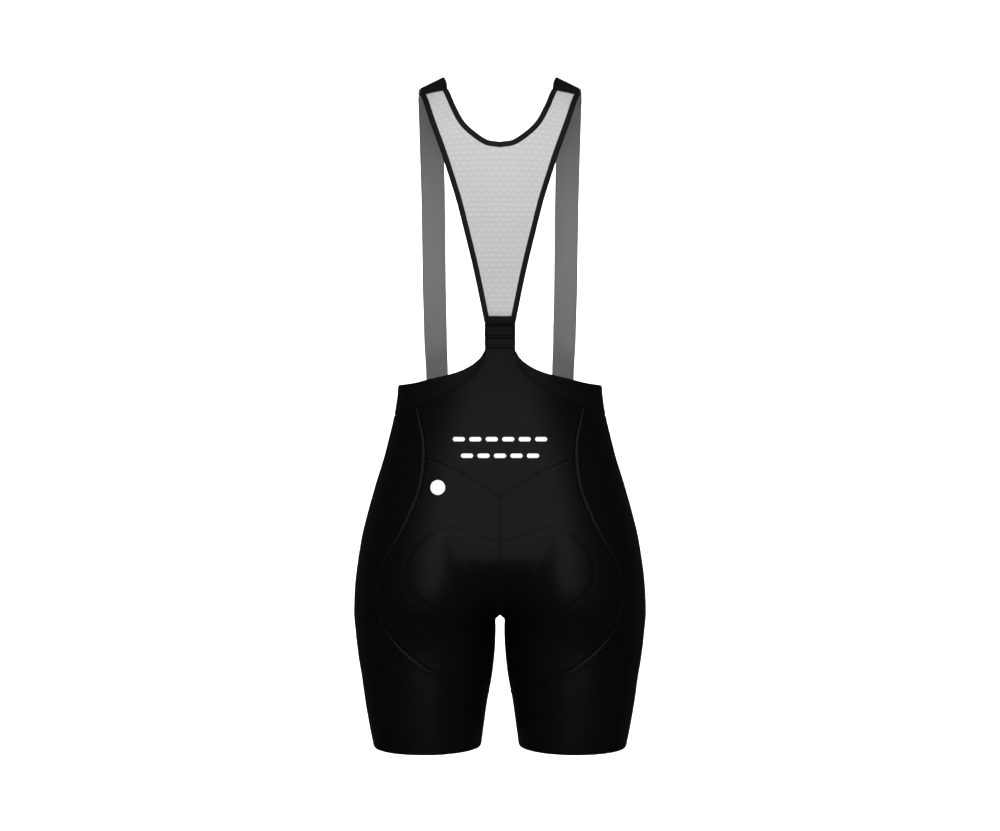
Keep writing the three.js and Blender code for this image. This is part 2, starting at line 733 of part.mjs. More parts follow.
function bindings() {
  const trimmed = (line) => [{ ...line[0], s: line[0].s + SEAM_GAP }, ...line.slice(1)];
  const flipped = (line) => line.map(({ x, s }) => ({ x: -x, s }));
  const seam = atUpper(NECKLINE[0]).sub(atUpper(ARMHOLE[0])).normalize();
  const otherSeam = seam.clone().setX(-seam.x);
  const neckLeft = trimmed(neckline);
  const neckLine = [...neckLeft, ...flipped(neckLeft.slice(0, -1)).reverse()];
  const neckSeams = { 0: seam, [neckLine.length - 1]: otherSeam };
  const arm = trimmed(armhole);
  const up = new THREE.Vector3(0, 0, 1);
  const left = new THREE.Vector3(1, 0, 0);
  const band = (name, line, away, seams) =>
    sweptBand(name, BINDING_TAPE, line, away, seams, BINDING_OUTLINE);
  return [
    band("neck_binding", neckLine, up, neckSeams),
    band("armhole_binding_left", arm, left, { 0: seam.clone().negate() }),
    band("armhole_binding_right", flipped(arm), left.clone().negate(), { 0: otherSeam.clone().negate() }),
  ];
}

// Straps, each one piece from the mesh at the back of the shoulder to inside the front waistband
function straps() {
  const seamSlant = (ARMHOLE[0].s - NECKLINE[0].s) / (ARMHOLE[0].x - NECKLINE[0].x);
  const insideBand = -CLOTH - 3 * SEAM_GAP;
  const startS = (x) => NECKLINE[0].s + seamSlant * (x - NECKLINE[0].x) - SEAM_GAP;
  const endS = shoulderSamples.find((sample) => sample.s < 0 && sample.z < STRAP_END_Z).s;
  const points = [];
  const normals = [];
  for (let i = 0; i <= STRAP_ROWS; i += 1) {
    const middleS = startS(SHOULDER_LINE[0].strapX);
    const roughS = middleS + ((endS - middleS) * i) / STRAP_ROWS;
    const line = shoulderAt(roughS);
    const across = [];
    const outward = [];
    for (let j = 0; j <= STRAP_COLUMNS; j += 1) {
      const offset = (j / STRAP_COLUMNS - 0.5) * STRAP_WIDTH;
      const flat = upper(line.strapX + 1, roughS).sub(upper(line.strapX - 1, roughS)).length() / 2;
      const x = line.strapX + offset / flat;
      const s = i === 0 ? startS(x) : roughS;
      const free = upper(x, s);
      const freeNormal = upperNormal(x, s);
      const near = clamp((STRAP_BLEND_Z - free.z) / STRAP_BLEND, 0, 1);
      const weight = s < 0 ? near * near * (3 - 2 * near) : 0;
      if (weight > 0) {
        const u = aroundAt(x, free.z, true);
        const normal = bodyNormal(u, free.z);
        free.lerp(body(u, free.z).addScaledVector(normal, insideBand), weight);
        freeNormal.lerp(normal, weight).normalize();
      }
      across.push(free);
      outward.push(freeNormal);
    }
    points.push(across);
    normals.push(outward);
  }
  return pair("strap", STRAP_ELASTIC, { points, normals }, STRAP_CLOTH);
}

// Clip, three moulded pieces on a plane that lies over the end of the mesh and the yoke's neck.
// Its own x runs across, y up and z outwards.
function roundedPlate(width, height, topRadius, bottomRadius) {
  const half = width / 2;
  const shape = new THREE.Shape();
  shape.moveTo(-half + bottomRadius, -height);
  shape.lineTo(half - bottomRadius, -height);
  shape.absarc(half - bottomRadius, -height + bottomRadius, bottomRadius, -Math.PI / 2, 0);
  shape.lineTo(half, -topRadius);
  shape.absarc(half - topRadius, -topRadius, topRadius, 0, Math.PI / 2);
  shape.lineTo(-half + topRadius, 0);
  shape.absarc(-half + topRadius, -topRadius, topRadius, Math.PI / 2, Math.PI);
  shape.lineTo(-half, -height + bottomRadius);
  shape.absarc(-half + bottomRadius, -height + bottomRadius, bottomRadius, Math.PI, 1.5 * Math.PI);
  return shape;
}

function moulded(name, shape, thickness, top, base) {
  const geometry = new THREE.ExtrudeGeometry(shape, {
    depth: thickness - 2 * CLIP_BEVEL,
    bevelThickness: CLIP_BEVEL,
    bevelSize: CLIP_BEVEL,
    bevelOffset: -CLIP_BEVEL,
    bevelSegments: 1,
    curveSegments: 4,
  });
  geometry.translate(0, top, base + CLIP_BEVEL);
  const mesh = new THREE.Mesh(geometry, CLIP_PLASTIC);
  mesh.name = name;
  return mesh;
}

function clip() {
  const upperShape = roundedPlate(CLIP_WIDTH, CLIP_UPPER_HEIGHT, CLIP_CORNER, 1);
  const windowHalf = CLIP_WIDTH / 2 - WINDOW_FRAME;
  const hole = new THREE.Path();
  hole.moveTo(-windowHalf, -WINDOW_TOP);
  hole.lineTo(windowHalf, -WINDOW_TOP);
  hole.lineTo(windowHalf, -WINDOW_TOP - WINDOW_HEIGHT);
  hole.lineTo(-windowHalf, -WINDOW_TOP - WINDOW_HEIGHT);
  hole.closePath();
  upperShape.holes.push(hole);
  const room = CLIP_BEVEL + SEAM_GAP;
  const insertShape = roundedPlate(2 * (windowHalf - room), WINDOW_HEIGHT - 2 * room, 1, 1);
  const lowerShape = roundedPlate(CLIP_WIDTH, CLIP_LOWER_HEIGHT, 1, CLIP_CORNER);
  const lowerTop = -CLIP_UPPER_HEIGHT - CLIP_GROOVE;
  const pieces = new THREE.Group();
  pieces.add(moulded("clip_upper", upperShape, CLIP_THICKNESS, 0, 0));
  pieces.add(moulded("clip_insert", insertShape, CLIP_THICKNESS - INSERT_RECESS, -WINDOW_TOP - room, 0));
  pieces.add(moulded("clip_lower", lowerShape, CLIP_THICKNESS, lowerTop, 0));
  const meshEnd = upper(0, MESH_END_S);
  const yokeTop = body(0, YOKE_TOP_Z);
  const clear = 3 * SEAM_GAP;
  const up = meshEnd.clone().sub(yokeTop).normalize();
  const across = new THREE.Vector3(-1, 0, 0);
  const out = new THREE.Vector3().crossVectors(across, up);
  pieces.setRotationFromMatrix(new THREE.Matrix4().makeBasis(across, up, out));
  pieces.position.copy(meshEnd).addScaledVector(up, (CLIP_TOP_Z - meshEnd.z) / up.z);
  pieces.position.addScaledVector(out, clear);
  return pieces;
}

const bibShorts = new THREE.Group();
bibShorts.add(yoke(), ...waistbands(), ...seats(), ...sideLegs(), ...fronts());
bibShorts.add(meshBack(), ...bindings(), ...straps(), clip());
export default bibShorts;
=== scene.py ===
"""Cycling bib shorts in the shape they have when worn, dressed piece by piece over the fixed model.

Lengths are millimetres until a mesh is made, +Z is up, the front faces -Y and the wearer's left is +X.
"""

import bpy
import numpy as np
from bpy.props import FloatProperty, FloatVectorProperty, PointerProperty
from bpy.types import Operator, Panel, PropertyGroup
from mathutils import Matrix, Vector


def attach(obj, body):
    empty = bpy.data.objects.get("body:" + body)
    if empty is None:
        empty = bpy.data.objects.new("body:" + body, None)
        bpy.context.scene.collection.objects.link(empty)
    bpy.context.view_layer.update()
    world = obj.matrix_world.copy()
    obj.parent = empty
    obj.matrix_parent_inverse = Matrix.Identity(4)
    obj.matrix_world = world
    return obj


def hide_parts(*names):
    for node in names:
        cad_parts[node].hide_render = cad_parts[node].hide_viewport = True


bl_info = {
    "name": "Bib shorts",
    "version": (1, 0, 0),
    "blender": (4, 5, 0),
    "location": "View3D > Sidebar > Bib shorts",
    "description": "Dresses a pair of cycling bib shorts in knitted cloth, mesh, elastic and a moulded clip",
    "category": "Object",
}

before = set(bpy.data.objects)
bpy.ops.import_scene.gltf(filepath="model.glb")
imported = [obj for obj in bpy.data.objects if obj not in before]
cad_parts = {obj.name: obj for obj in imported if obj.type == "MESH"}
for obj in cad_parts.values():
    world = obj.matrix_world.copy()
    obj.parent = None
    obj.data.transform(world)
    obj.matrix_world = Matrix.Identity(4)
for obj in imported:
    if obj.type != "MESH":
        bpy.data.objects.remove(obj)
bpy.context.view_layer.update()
MM = 0.001
ROOT = "root"


# Numbers under named columns


def table(names, rows):
    """A dictionary of one array for each named column."""
    columns = np.array(rows, dtype=float).T
    return dict(zip(names.split(), columns))


# Level sections of the shorts. Each leg is a tube that reaches "side" from the centre plane, and
# "back" and "front" from y = 0 at the widths backX and frontX. "mid" is the depth of the side
# line, and gap is half of the space between the legs.
SECTIONS = table(
    "z side mid back backX front frontX gap",
    [
        (-250, 134, 0, 88.5, 12, 104, 12, 0),
        (-320, 124, 0, 84.8, 13, 98, 12, 0),
        (-365, 122.5, 0, 82, 14, 95, 14, 0),
        (-392, 126, 0, 84, 22, 98, 18, 0),
        (-421, 132.5, 1, 90, 34, 102, 24, 0),
        (-450, 140, 2, 98, 46, 105, 30, 0),
        (-479, 149, 3, 106.5, 56, 107, 38, 0),
        (-508, 157, 5, 115, 64, 107, 46, 0),
        (-536, 164, 6, 122, 70, 105, 54, 0),
        (-565, 169, 7, 127, 74, 101, 62, 0),
        (-594, 172.5, 8, 128.5, 78, 96.5, 70, 0),
        (-620, 174, 8, 123, 82, 92.5, 77, 0),
        (-636, 174, 8, 115.5, 84, 91.5, 81, 4.8),
        (-652, 172.5, 7.5, 107.5, 86, 91, 84, 4.8),
        (-668, 171, 7, 102, 87, 90.5, 86, 5.4),
        (-680, 169.5, 6.5, 99.5, 87.5, 90, 87, 6.2),
        (-709, 165, 5, 95, 88, 88, 87, 9.6),
        (-738, 161, 4, 90.5, 88, 85, 87.5, 15),
        (-767, 156, 3, 85.5, 87.5, 81, 87.5, 19),
        (-792, 151, 2, 81, 87, 77, 87, 22.5),
    ],
)

# Seams and edges on the wearer's left, seen from behind
SWOOP_SEAM = table(
    "x z",
    [
        (97, -386), (93.4, -401), (89.5, -418), (87.6, -433), (87.5, -447.3), (88.7, -462),
        (92.1, -481), (98.9, -500), (112.8, -530), (130.3, -561), (138.6, -588), (139.4, -612),
        (133.1, -638), (118, -660), (98, -678), (73.5, -694), (48, -706), (24.5, -716),
    ],
)
V_SEAM = table(
    "x z",
    [(0, -489), (24, -475.1), (42.8, -464.5), (59.5, -456.5), (73.5, -450.8), (87.5, -447.3)],
)
TOP_EDGE = table(
    "x z",
    [
        (18.5, -322), (22.2, -328.5), (27.8, -334.2), (35.3, -339.4), (46, -344.6), (61, -349.2),
        (85, -354.5), (103, -358.5),
    ],
)
BAND_SEAM = table(
    "x z",
    [
        (17.9, -323), (20.4, -331.6), (25, -341.8), (33.7, -351.6), (45.6, -359.9), (57.5, -367),
        (71.8, -373.5), (84, -379), (97, -386),
    ],
)
PAD_LINE = table(
    "x z",
    [
        (0, -540.3), (19.1, -536.5), (33.2, -530.4), (47, -525.7), (59, -524.6), (70.3, -526.9),
        (82, -531.6), (91.3, -538.5), (100.6, -547.9), (107, -559), (109.5, -575), (107.4, -588),
        (101.5, -597.5), (93.3, -606), (84.2, -614.8), (72, -624),
    ],
)
WAIST_DIP = table("u share", [(2, 0), (2.42, 0.2), (2.7, 0.68), (3, 0.97), (3.5, 0.99), (4, 1)])

CROTCH_Z = -635.0
HEM_Z = -791.0
YOKE_TOP_Z = -311.0
YOKE_NECK_HALF = 17.2
WAIST_SIDE_Z = -361.0
WAIST_FRONT_DIP = 24.0
WAISTBAND_HEIGHT = 36.0
SWOOP_END_Z = -723.0
SIDE_SEAM = table(
    "row u z",
    [(0, 2.42, -402), (5, 2.4, -462), (9, 2.36, -572), (21, 2.42, -722), (25, 2.45, HEM_Z)],
)

# The arch between the legs, the saddle that rises above it at the back and the front, and how
# softly the inner quarters run into the saddle
CROTCH_ARCH = 6.0
RISE_BACK, RISE_BACK_HEIGHT = 122.0, 85.0
RISE_FRONT, RISE_FRONT_HEIGHT = 99.0, 70.0
SADDLE_SOFTENING = 6.0
SADDLE_SHARE, ROOM_SHARE = 0.6, 0.98
BLEND_LEAST, BLEND_MOST = 0.01, 45.0
OUTER_FULLNESS, INNER_FULLNESS = 2.2, 2.0

# The line over the shoulder at the strap, from the back through the crest to the front waist.
# bend is how strongly the body curves across it, and strapX is the middle of the strap.
SHOULDER_LINE = table(
    "y z bend strapX",
    [
        (76, -350, 1 / 350, 77.6),
        (78.5, -300, 1 / 350, 77.6),
        (83, -250, 1 / 350, 77.6),
        (91, -200, 1 / 350, 77.6),
        (96, -150, 1 / 350, 77.6),
        (95.5, -105, 1 / 350, 77.6),
        (86, -65, 1 / 380, 77.6),
        (67, -32, 1 / 500, 77.6),
        (43, -11, 1 / 900, 78.6),
        (20, -2, 0, 81),
        (0, 0, 0, 84),
        (-28, -7, -1 / 900, 85.5),
        (-54, -25, -1 / 400, 85.5),
        (-77, -55, -1 / 300, 85),
        (-93, -95, -1 / 250, 84.2),
        (-99.5, -140, -1 / 220, 83.4),
        (-98.5, -190, -1 / 200, 82.8),
        (-93.5, -240, -1 / 185, 82),
        (-88, -290, -1 / 165, 80.6),
        (-83, -335, -1 / 145, 79.6),
        (-79.5, -372, -1 / 138, 79.2),
        (-78, -410, -1 / 138, 79.2),
    ],
)
CREST_ROW = 10
MESH_END_S = 340.0
NECKLINE = table(
    "x s", [(66.6, 65), (56.5, 96.3), (45.8, 117.5), (32.6, 130.8), (16.3, 141.1), (0, 144.1)]
)
ARMHOLE = table(
    "x s",
    [
        (87.7, 56.7), (75.7, 105.5), (58.3, 156.1), (45.4, 196.5), (37, 229), (25.6, 276),
        (12.3, MESH_END_S),
    ],
)
STRAP_LINE_X = 80.0
CREST_X = 84.0
SHOULDER_SLOPE = 0.4925
SLOPE_FADE_START, SLOPE_FADE_LENGTH = 20.0, 160.0
CENTRE_SOFTENING, CENTRE_DROP = 8.0, 0.4
STRAP_END_Z = -398.0
STRAP_BLEND_Z, STRAP_BLEND = -300.0, 50.0
BINDING_WIDTH, BINDING_LAP, BINDING_DEPTH, BINDING_TOP = 6.0, 0.6, 2.4, 0.95

# Clip, measured down from its top
CLIP_TOP_Z = -281.5
CLIP_UPPER_HEIGHT = 24.8
CLIP_LOWER_HEIGHT = 11.0
CLIP_GROOVE = 0.8
CLIP_CORNER = 3.0
WINDOW_TOP, WINDOW_HEIGHT, WINDOW_FRAME, WINDOW_CORNER = 11.2, 11.5, 2.7, 0.6
WINDOW_BEVEL = ((-0.5, 0.0), (-0.2, 0.15), (0.0, 0.5))
LEAST_CORNER = 0.15
INSERT_RECESS = 1.2

# Fineness of the meshes
RISE_STEPS = 128
FINE = 600
SHOULDER_FINE = 60
U_STEP, Z_STEP = 0.01, 0.6
U_LENGTH = 100.0
SPACING = 3.4
BORDER_STEPS = (0, 0.7, 1.4, 2.2, 3.2, 4.6, 6.5)
STRAP_STEPS, STRAP_COLUMNS = 200, 9
STRAP_EDGE_STEPS = (0, 0.3, 0.8, 1.5, 2.6, 4.2)
STITCH_STEPS, THREAD_SIDES = 8, 5
SHORT_LINE, HEM_LINE, LONG_LINE, BAND_LINE, PAD_STEPS = 90, 120, 160, 200, 180
MARK_STEPS = 9

# Numbered rows and columns of the borders, where they meet each other
V_ROW, CROTCH_ROW, INSEAM_ROW, HEM_ROW = 5, 9, 21, 25
BACK_COLUMNS, FRONT_COLUMNS = 12, 9
WAIST_COLUMNS = (0, 9, 21, 30)
MESH_ROWS, MESH_COLUMNS = 16, 8

# Relief at the seams. The soft and the centre seam are shares of the seam depth, and the dips and
# the ridges beside them are heights.
SEAM_HALF_WIDTH = 1.5
RIDGE_PLACE, RIDGE_HALF_WIDTH = 3.0, 1.4
SOFT_SEAM, CENTRE_SEAM = 0.6, 0.4
YOKE_RIDGE, CENTRE_RIDGE, SEAT_RIDGE, SIDE_RIDGE = 0.22, 0.08, 0.05, 0.1
HEM_DIP, HEM_RIDGE = 0.45, 0.15
EDGE_DIP, EDGE_RIDGE = 0.5, 0.25
SHOULDER_DIP, SHOULDER_RIDGE = 0.6, 0.15

# Pad, stitches, straps, the fit of the clip, and marks
PAD_STEP, PAD_STEP_WIDTH = 0.8, 5.0
PAD_FADE_Z, PAD_FADE = -634.0, 40.0
PAD_CLOSING = ((60, -680), (-5, -680))
STITCH_DIP, STITCH_HALF_WIDTH = 0.35, 1.8
ZIGZAG_HALF_WIDTH = 1.3
THREAD_RADIUS, THREAD_LIFT, THREAD_DIP = 0.33, 0.2, 0.16
ZIGZAG_SHARPNESS = 0.97
MITRE_LENGTH = 14.0
SLANT_FADE = 60.0
JOIN_FLARE, JOIN_FADE = 4.6, 42.0
STRAP_INSIDE = 2.4
SELVEDGE_DROP, SELVEDGE_FADE = 0.25, 0.5
CLIP_CLEAR = 0.9
CLIP_ROOM, CLIP_FIT = 0.15, 0.05
TONGUE_THICKNESS, TONGUE_MARGIN, TONGUE_TOP = 1.0, 0.5, 8.0
DOT_PITCH, DOT_ROW = 8.3, 5.8
# The raised dots of the mesh are painted lighter as a highlight, and the grooves between the rows darker as
# shade
DOT_RADIUS, DOT_CROWN, DOT_SHARE = 2.2, 0.5, 0.42
SUNK_AND_SHADED_START, SUNK_AND_SHADED_SHARE = 0.28, 0.25
FILM_BASE, FILM_TOP = 0.03, 0.2
YOKE_DASH_ROWS = ((-424.0, 6), (-443.0, 5))
YOKE_DASH_PITCH, YOKE_DASH_HALF, YOKE_DASH_HEIGHT = 19.0, 7.0, 5.0
SPOT_X, SPOT_Z, SPOT_RADIUS = 71.4, -479.2, 8.5
BAR_U, BAR_ZS, BAR_HALF, BAR_HALF_HEIGHT = 2.0, (-580.0, -590.0, -600.0), 6.0, 2.2

# Specular level of the close black knit, and of black tape, elastic and thread
KNIT_SPECULAR, MATT_SPECULAR = 0.052, 0.08

# Stage, in metres, with the lens and the sensor in millimetres
CAMERA_Z = -0.3966
CAMERA_LENS, CAMERA_SENSOR = 72, 36
WORLD_STRENGTH = 0.07
PAPER_HALF_WIDTH, PAPER_FRONT, PAPER_BACK, PAPER_BEND, PAPER_TOP = 4.0, 4.0, -1.9, 0.9, 3.4

# Place, target, size, share of the key light's power and spread in degrees. The light on the paper
# has a power of its own, and a twin on the other side.
LIGHTS = {
    "key": ((0.0, 2.4, 0.3), (0.0, 0.0, -0.5), (0.9, 1.0), 1.0, 180),
    "high": ((0.0, 1.2, 1.1), (0.0, 0.05, -0.1), (1.2, 0.7), 0.3, 110),
    "low": ((0.0, 2.3, -0.9), (0.0, 0.0, -0.7), (0.7, 0.24), 0.5, 180),
}
PAPER_LIGHT = ((1.7, -1.0, 0.4), (0.3, -2.6, -0.6), (0.5, 1.6), 115)

# Flat sizes of the cut pieces, width and length, in metres.
# Worn, the knit is stretched about 15% round the body and 4% along it, and the mesh 5% in area.
NECK_BINDING_CUT = (0.010, 0.222)
ARM_BINDING_CUT = (0.010, 0.284)


# Curves


def clamp(value, low, high):
    """The value held between two limits."""
    return np.minimum(np.maximum(value, low), high)


def smooth_step(t):
    """Three t squared less two t cubed, which starts and ends level, with t held from 0 to 1."""
    t = clamp(t, 0.0, 1.0)
    return t * t * (3 - 2 * t)


def curve_through(keys, values, at):
    """A cubic between each two rows, whose tangent in a row is that of the parabola through it and
    the rows on either side."""
    keys, values = keys[::-1], values[::-1]
    steps = np.diff(keys)
    slopes = np.diff(values) / steps
    middle = (slopes[1:] * steps[:-1] + slopes[:-1] * steps[1:]) / (steps[1:] + steps[:-1])
    tangents = np.concatenate([slopes[:1], middle, slopes[-1:]])
    place = clamp(at, keys[0], keys[-1])
    i = clamp(np.searchsorted(keys, place) - 1, 0, len(keys) - 2)
    t = (place - keys[i]) / steps[i]
    start = t * (1 - t) ** 2 * steps[i] * tangents[i]
    end = t * t * (t - 1) * steps[i] * tangents[i + 1]
    return values[i] + smooth_step(t) * (values[i + 1] - values[i]) + start + end


def soft_max(a, b, width):
    """The larger of two lengths, with a parabola over the width where they are nearly equal."""
    h = np.maximum(width - np.abs(a - b), 0) / width
    return np.maximum(a, b) + h * h * width / 4


def fullness(angle, power):
    """Radius of a unit superellipse: the powers of the sine and cosine are added, and the sum is
    taken to minus one over the power."""
    return (np.abs(np.cos(angle)) ** power + np.abs(np.sin(angle)) ** power) ** (-1 / power)


def smooth_line(places, count=FINE):
    """A centripetal Catmull-Rom line through places of two numbers: between each two places runs a
    cubic, whose end tangents weigh its neighbours by the roots of their distances."""
    before, after = 2 * places[:1] - places[1:2], 2 * places[-1:] - places[-2:-1]
    p = np.concatenate([before, places, after])
    gaps = np.sqrt(np.linalg.norm(np.diff(p, axis=0), axis=1))[:, None]
    at = np.linspace(0, len(places) - 1, count + 1)
    i = np.minimum(at.astype(int), len(places) - 2)
    t = (at - i)[:, None]
    p0, p1, p2, p3 = p[i], p[i + 1], p[i + 2], p[i + 3]
    g0, g1, g2 = gaps[i], gaps[i + 1], gaps[i + 2]
    start = ((p1 - p0) / g0 - (p2 - p0) / (g0 + g1) + (p2 - p1) / g1) * g1
    end = ((p2 - p1) / g1 - (p3 - p1) / (g1 + g2) + (p3 - p2) / g2) * g1
    return p1 + smooth_step(t) * (p2 - p1) + t * (1 - t) ** 2 * start + t * t * (t - 1) * end


def lengths_along(points):
    """The length of a line of points from its start to each point."""
    steps = np.linalg.norm(np.diff(points, axis=0), axis=1)
    return np.concatenate([[0], np.cumsum(steps)])


def unit(vectors):
    """Each vector divided by its length."""
    return vectors / np.maximum(np.linalg.norm(vectors, axis=-1, keepdims=True), 1e-12)


# The body that fills the shorts


def inner_quarter(share, z, gap_half, extent, peak, top, height):
    """The inner quarter of a leg section, as a place at a share of its length.

    It is a quarter ellipse from the inseam, or the centre plane, to the back or front of the leg.
    Above the crotch it is raised to the saddle between the legs, whose depth is a quarter ellipse
    in z. Below the crotch the gap between the legs opens along a quarter circle.
    """
    torso = z >= CROTCH_Z
    depth = clamp((CROTCH_Z - z) / CROTCH_ARCH, 0, 1)
    gap = np.where(torso, 0, gap_half * np.sqrt(2 * depth - depth * depth))
    q = clamp(1 - (z - CROTCH_Z) / height, 0, 1)
    curve = top * np.sqrt(np.maximum(1 - q * q, 0))
    saddle = np.where(torso, -soft_max(-curve, -extent, SADDLE_SOFTENING), 0)
    room = ROOM_SHARE * (extent - saddle)
    blend = clamp(np.minimum(SADDLE_SHARE * saddle, room), BLEND_LEAST, BLEND_MOST)
    angle = np.linspace(np.pi / 2, 0, RISE_STEPS + 1)
    r = fullness(angle, INNER_FULLNESS)
    x = peak[..., None] - (peak - gap)[..., None] * np.sin(angle) * r
    y = extent[..., None] * np.cos(angle) * r
    y = np.where(torso[..., None], soft_max(y, saddle[..., None], blend[..., None]), y)
    steps = np.hypot(np.diff(x), np.diff(y))
    lengths = np.concatenate([np.zeros_like(x[..., :1]), np.cumsum(steps, axis=-1)], axis=-1)
    wanted = share * lengths[..., -1]
    i = clamp((lengths < wanted[..., None]).sum(axis=-1) - 1, 0, RISE_STEPS - 1)[..., None]
    low, high = (np.take_along_axis(lengths, k, axis=-1)[..., 0] for k in (i, i + 1))
    t = (wanted - low) / np.maximum(high - low, 1e-9)
    ends = [[np.take_along_axis(v, k, axis=-1)[..., 0] for k in (i, i + 1)] for v in (x, y)]
    return [start + (end - start) * t for start, end in ends]


def body(u, z):
    """Points of the shorts. u runs round the left half: 0 at the centre back or the inseam, 1 at the
    back of the leg, 2 at the side, 3 at the front and 4 at the centre front or the inseam. The outer
    quarters are superellipses, and past 0 or 4 it goes on to the right half or round the leg."""
    u, z = np.broadcast_arrays(np.asarray(u, float), np.asarray(z, float))
    torso = z >= CROTCH_Z
    turned = np.where(u < 0, np.where(torso, -u, u + 4), u)
    turned = np.where(u > 4, np.where(torso, 8 - u, u - 4), turned)
    mirror = np.where(((u < 0) | (u > 4)) & torso, -1.0, 1.0)
    section = {name: curve_through(SECTIONS["z"], SECTIONS[name], z) for name in SECTIONS}
    mid = section["mid"]
    at_back = turned <= 2
    around = np.where(at_back, turned, 4 - turned)
    extent = np.where(at_back, section["back"] - mid, section["front"] + mid)
    peak = np.where(at_back, section["backX"], section["frontX"])
    top = np.where(at_back, RISE_BACK - mid, RISE_FRONT + mid)
    height = np.where(at_back, RISE_BACK_HEIGHT, RISE_FRONT_HEIGHT)
    inner_share = clamp(around, 0, 1)
    inner_x, inner_y = inner_quarter(inner_share, z, section["gap"], extent, peak, top, height)
    angle = clamp(around - 1, 0, 1) * np.pi / 2
    r = fullness(angle, OUTER_FULLNESS)
    outer_x = peak + (section["side"] - peak) * r * np.sin(angle)
    outer_y = extent * r * np.cos(angle)
    x = np.where(around >= 1, outer_x, inner_x)
    y = np.where(around >= 1, outer_y, inner_y)
    return np.stack([mirror * x, mid + np.where(at_back, 1, -1) * y, z], axis=-1)


def body_normal(u, z):
    """Outward direction of the shorts: the steps along u and z crossed, not past the crotch."""
    torso = z >= CROTCH_Z
    low = np.where(torso, np.maximum(z - Z_STEP, CROTCH_Z), z - Z_STEP)
    high = np.where(torso, z + Z_STEP, np.minimum(z + Z_STEP, CROTCH_Z - 1e-6))
    along_u = body(u + U_STEP, z) - body(u - U_STEP, z)
    along_z = body(u, high) - body(u, low)
    return unit(np.cross(along_z, along_u))


def around_at(x, z, at_front=False):
    """The u of the back or front at a width x, found by halving a range forty times."""
    x, z = np.broadcast_arrays(np.asarray(x, float), np.asarray(z, float))
    low = np.full(x.shape, 2.0 if at_front else 0.0)
    high = low + 2
    for _ in range(40):
        middle = (low + high) / 2
        after = (body(middle, z)[..., 0] < x) != at_front
        low, high = np.where(after, middle, low), np.where(after, high, middle)
    return np.where((x == 0) & (not at_front), 0.0, (low + high) / 2)


def on_back(rows):
    """Places (u, z) of a table of x and z."""
    return np.stack([around_at(rows["x"], rows["z"]), rows["z"]], axis=-1)


# The upper body, under the mesh and the straps


def sample_shoulder():
    """The shoulder line by s, its length from the crest, positive down the back."""
    rows = len(SHOULDER_LINE["z"])
    places = np.stack([SHOULDER_LINE["y"], SHOULDER_LINE["z"]], axis=-1)
    line = smooth_line(places, SHOULDER_FINE * (rows - 1))
    lengths = lengths_along(line)
    place = np.linspace(0, rows - 1, len(line))
    columns = {name: np.interp(place, np.arange(rows), SHOULDER_LINE[name]) for name in SHOULDER_LINE}
    columns.update(s=lengths[CREST_ROW * SHOULDER_FINE] - lengths, y=line[:, 0], z=line[:, 1])
    return {name: column[::-1] for name, column in columns.items()}


SHOULDER = sample_shoulder()


def shoulder_at(name, s):
    """One column of the shoulder line at a length from the crest."""
    return np.interp(s, SHOULDER["s"], SHOULDER[name])


def upper(x, s):
    """Points of the upper body: a parabola of the bend across the shoulder line, and the slope of
    the shoulders, which fades out down the back and the front."""
    fade = 1 - smooth_step((np.abs(s) - SLOPE_FADE_START) / SLOPE_FADE_LENGTH)
    y = shoulder_at("y", s) - (x * x - STRAP_LINE_X**2) / 2 * shoulder_at("bend", s)
    away = np.sqrt(x * x + CENTRE_SOFTENING**2) - CENTRE_DROP
    z = shoulder_at("z", s) + SHOULDER_SLOPE * fade * (CREST_X - away)
    return np.stack(np.broadcast_arrays(x, y, z), axis=-1)


def upper_normal(x, s):
    """Outward direction of the upper body: the steps along x and s crossed."""
    along_x = upper(x + 0.5, s) - upper(x - 0.5, s)
    along_s = upper(x, s + 0.5) - upper(x, s - 0.5)
    return unit(np.cross(along_x, along_s))


# Borders and grids of the cut pieces


def border(stretches, surface=body):
    """One border of a piece. Each stretch is a line of places with the row numbers of its ends, and
    the rows between are spread by length on the surface."""
    keys = []
    for line, start, end in stretches:
        lengths = lengths_along(surface(line[:, 0], line[:, 1]))
        keys.append(start + (end - start) * lengths / lengths[-1])
    return np.concatenate(keys), np.concatenate([line for line, _, _ in stretches])


def along(edge, rows):
    """Places of a border at row numbers."""
    keys, places = edge
    return np.stack([np.interp(rows, keys, places[:, 0]), np.interp(rows, keys, places[:, 1])], axis=-1)


def cut(line, at, column=0):
    """The parts of a line before and after a value of one of its columns."""
    sign = 1 if line[-1, column] > line[0, column] else -1
    first = int(np.argmax(sign * line[:, column] >= sign * at))
    before, after = line[first - 1], line[first]
    corner = before + (after - before) * (at - before[column]) / (after[column] - before[column])
    return np.vstack([line[:first], corner]), np.vstack([corner, line[first:]])


def upright(u, start, end):
    """A line straight up or down the shorts."""
    return np.stack([np.full(FINE + 1, float(u)), np.linspace(start, end, FINE + 1)], axis=-1)


def level(start, end, z):
    """A line round the shorts at one height."""
    return np.stack([np.linspace(start, end, FINE + 1), np.full(FINE + 1, float(z))], axis=-1)


def smooth_places(places):
    """A smooth line through places on the shorts, with 100 mm for each unit of u."""
    return smooth_line(places * (U_LENGTH, 1)) / (U_LENGTH, 1)


def shares(length):
    """Shares of a length for the lines of a grid, close together near both ends."""
    steps = np.array(BORDER_STEPS)
    count = max(int(round((length - 2 * steps[-1]) / SPACING)), 2)
    middle = np.linspace(steps[-1], length - steps[-1], count + 1)
    return np.concatenate([steps, middle[1:-1], length - steps[::-1]]) / length


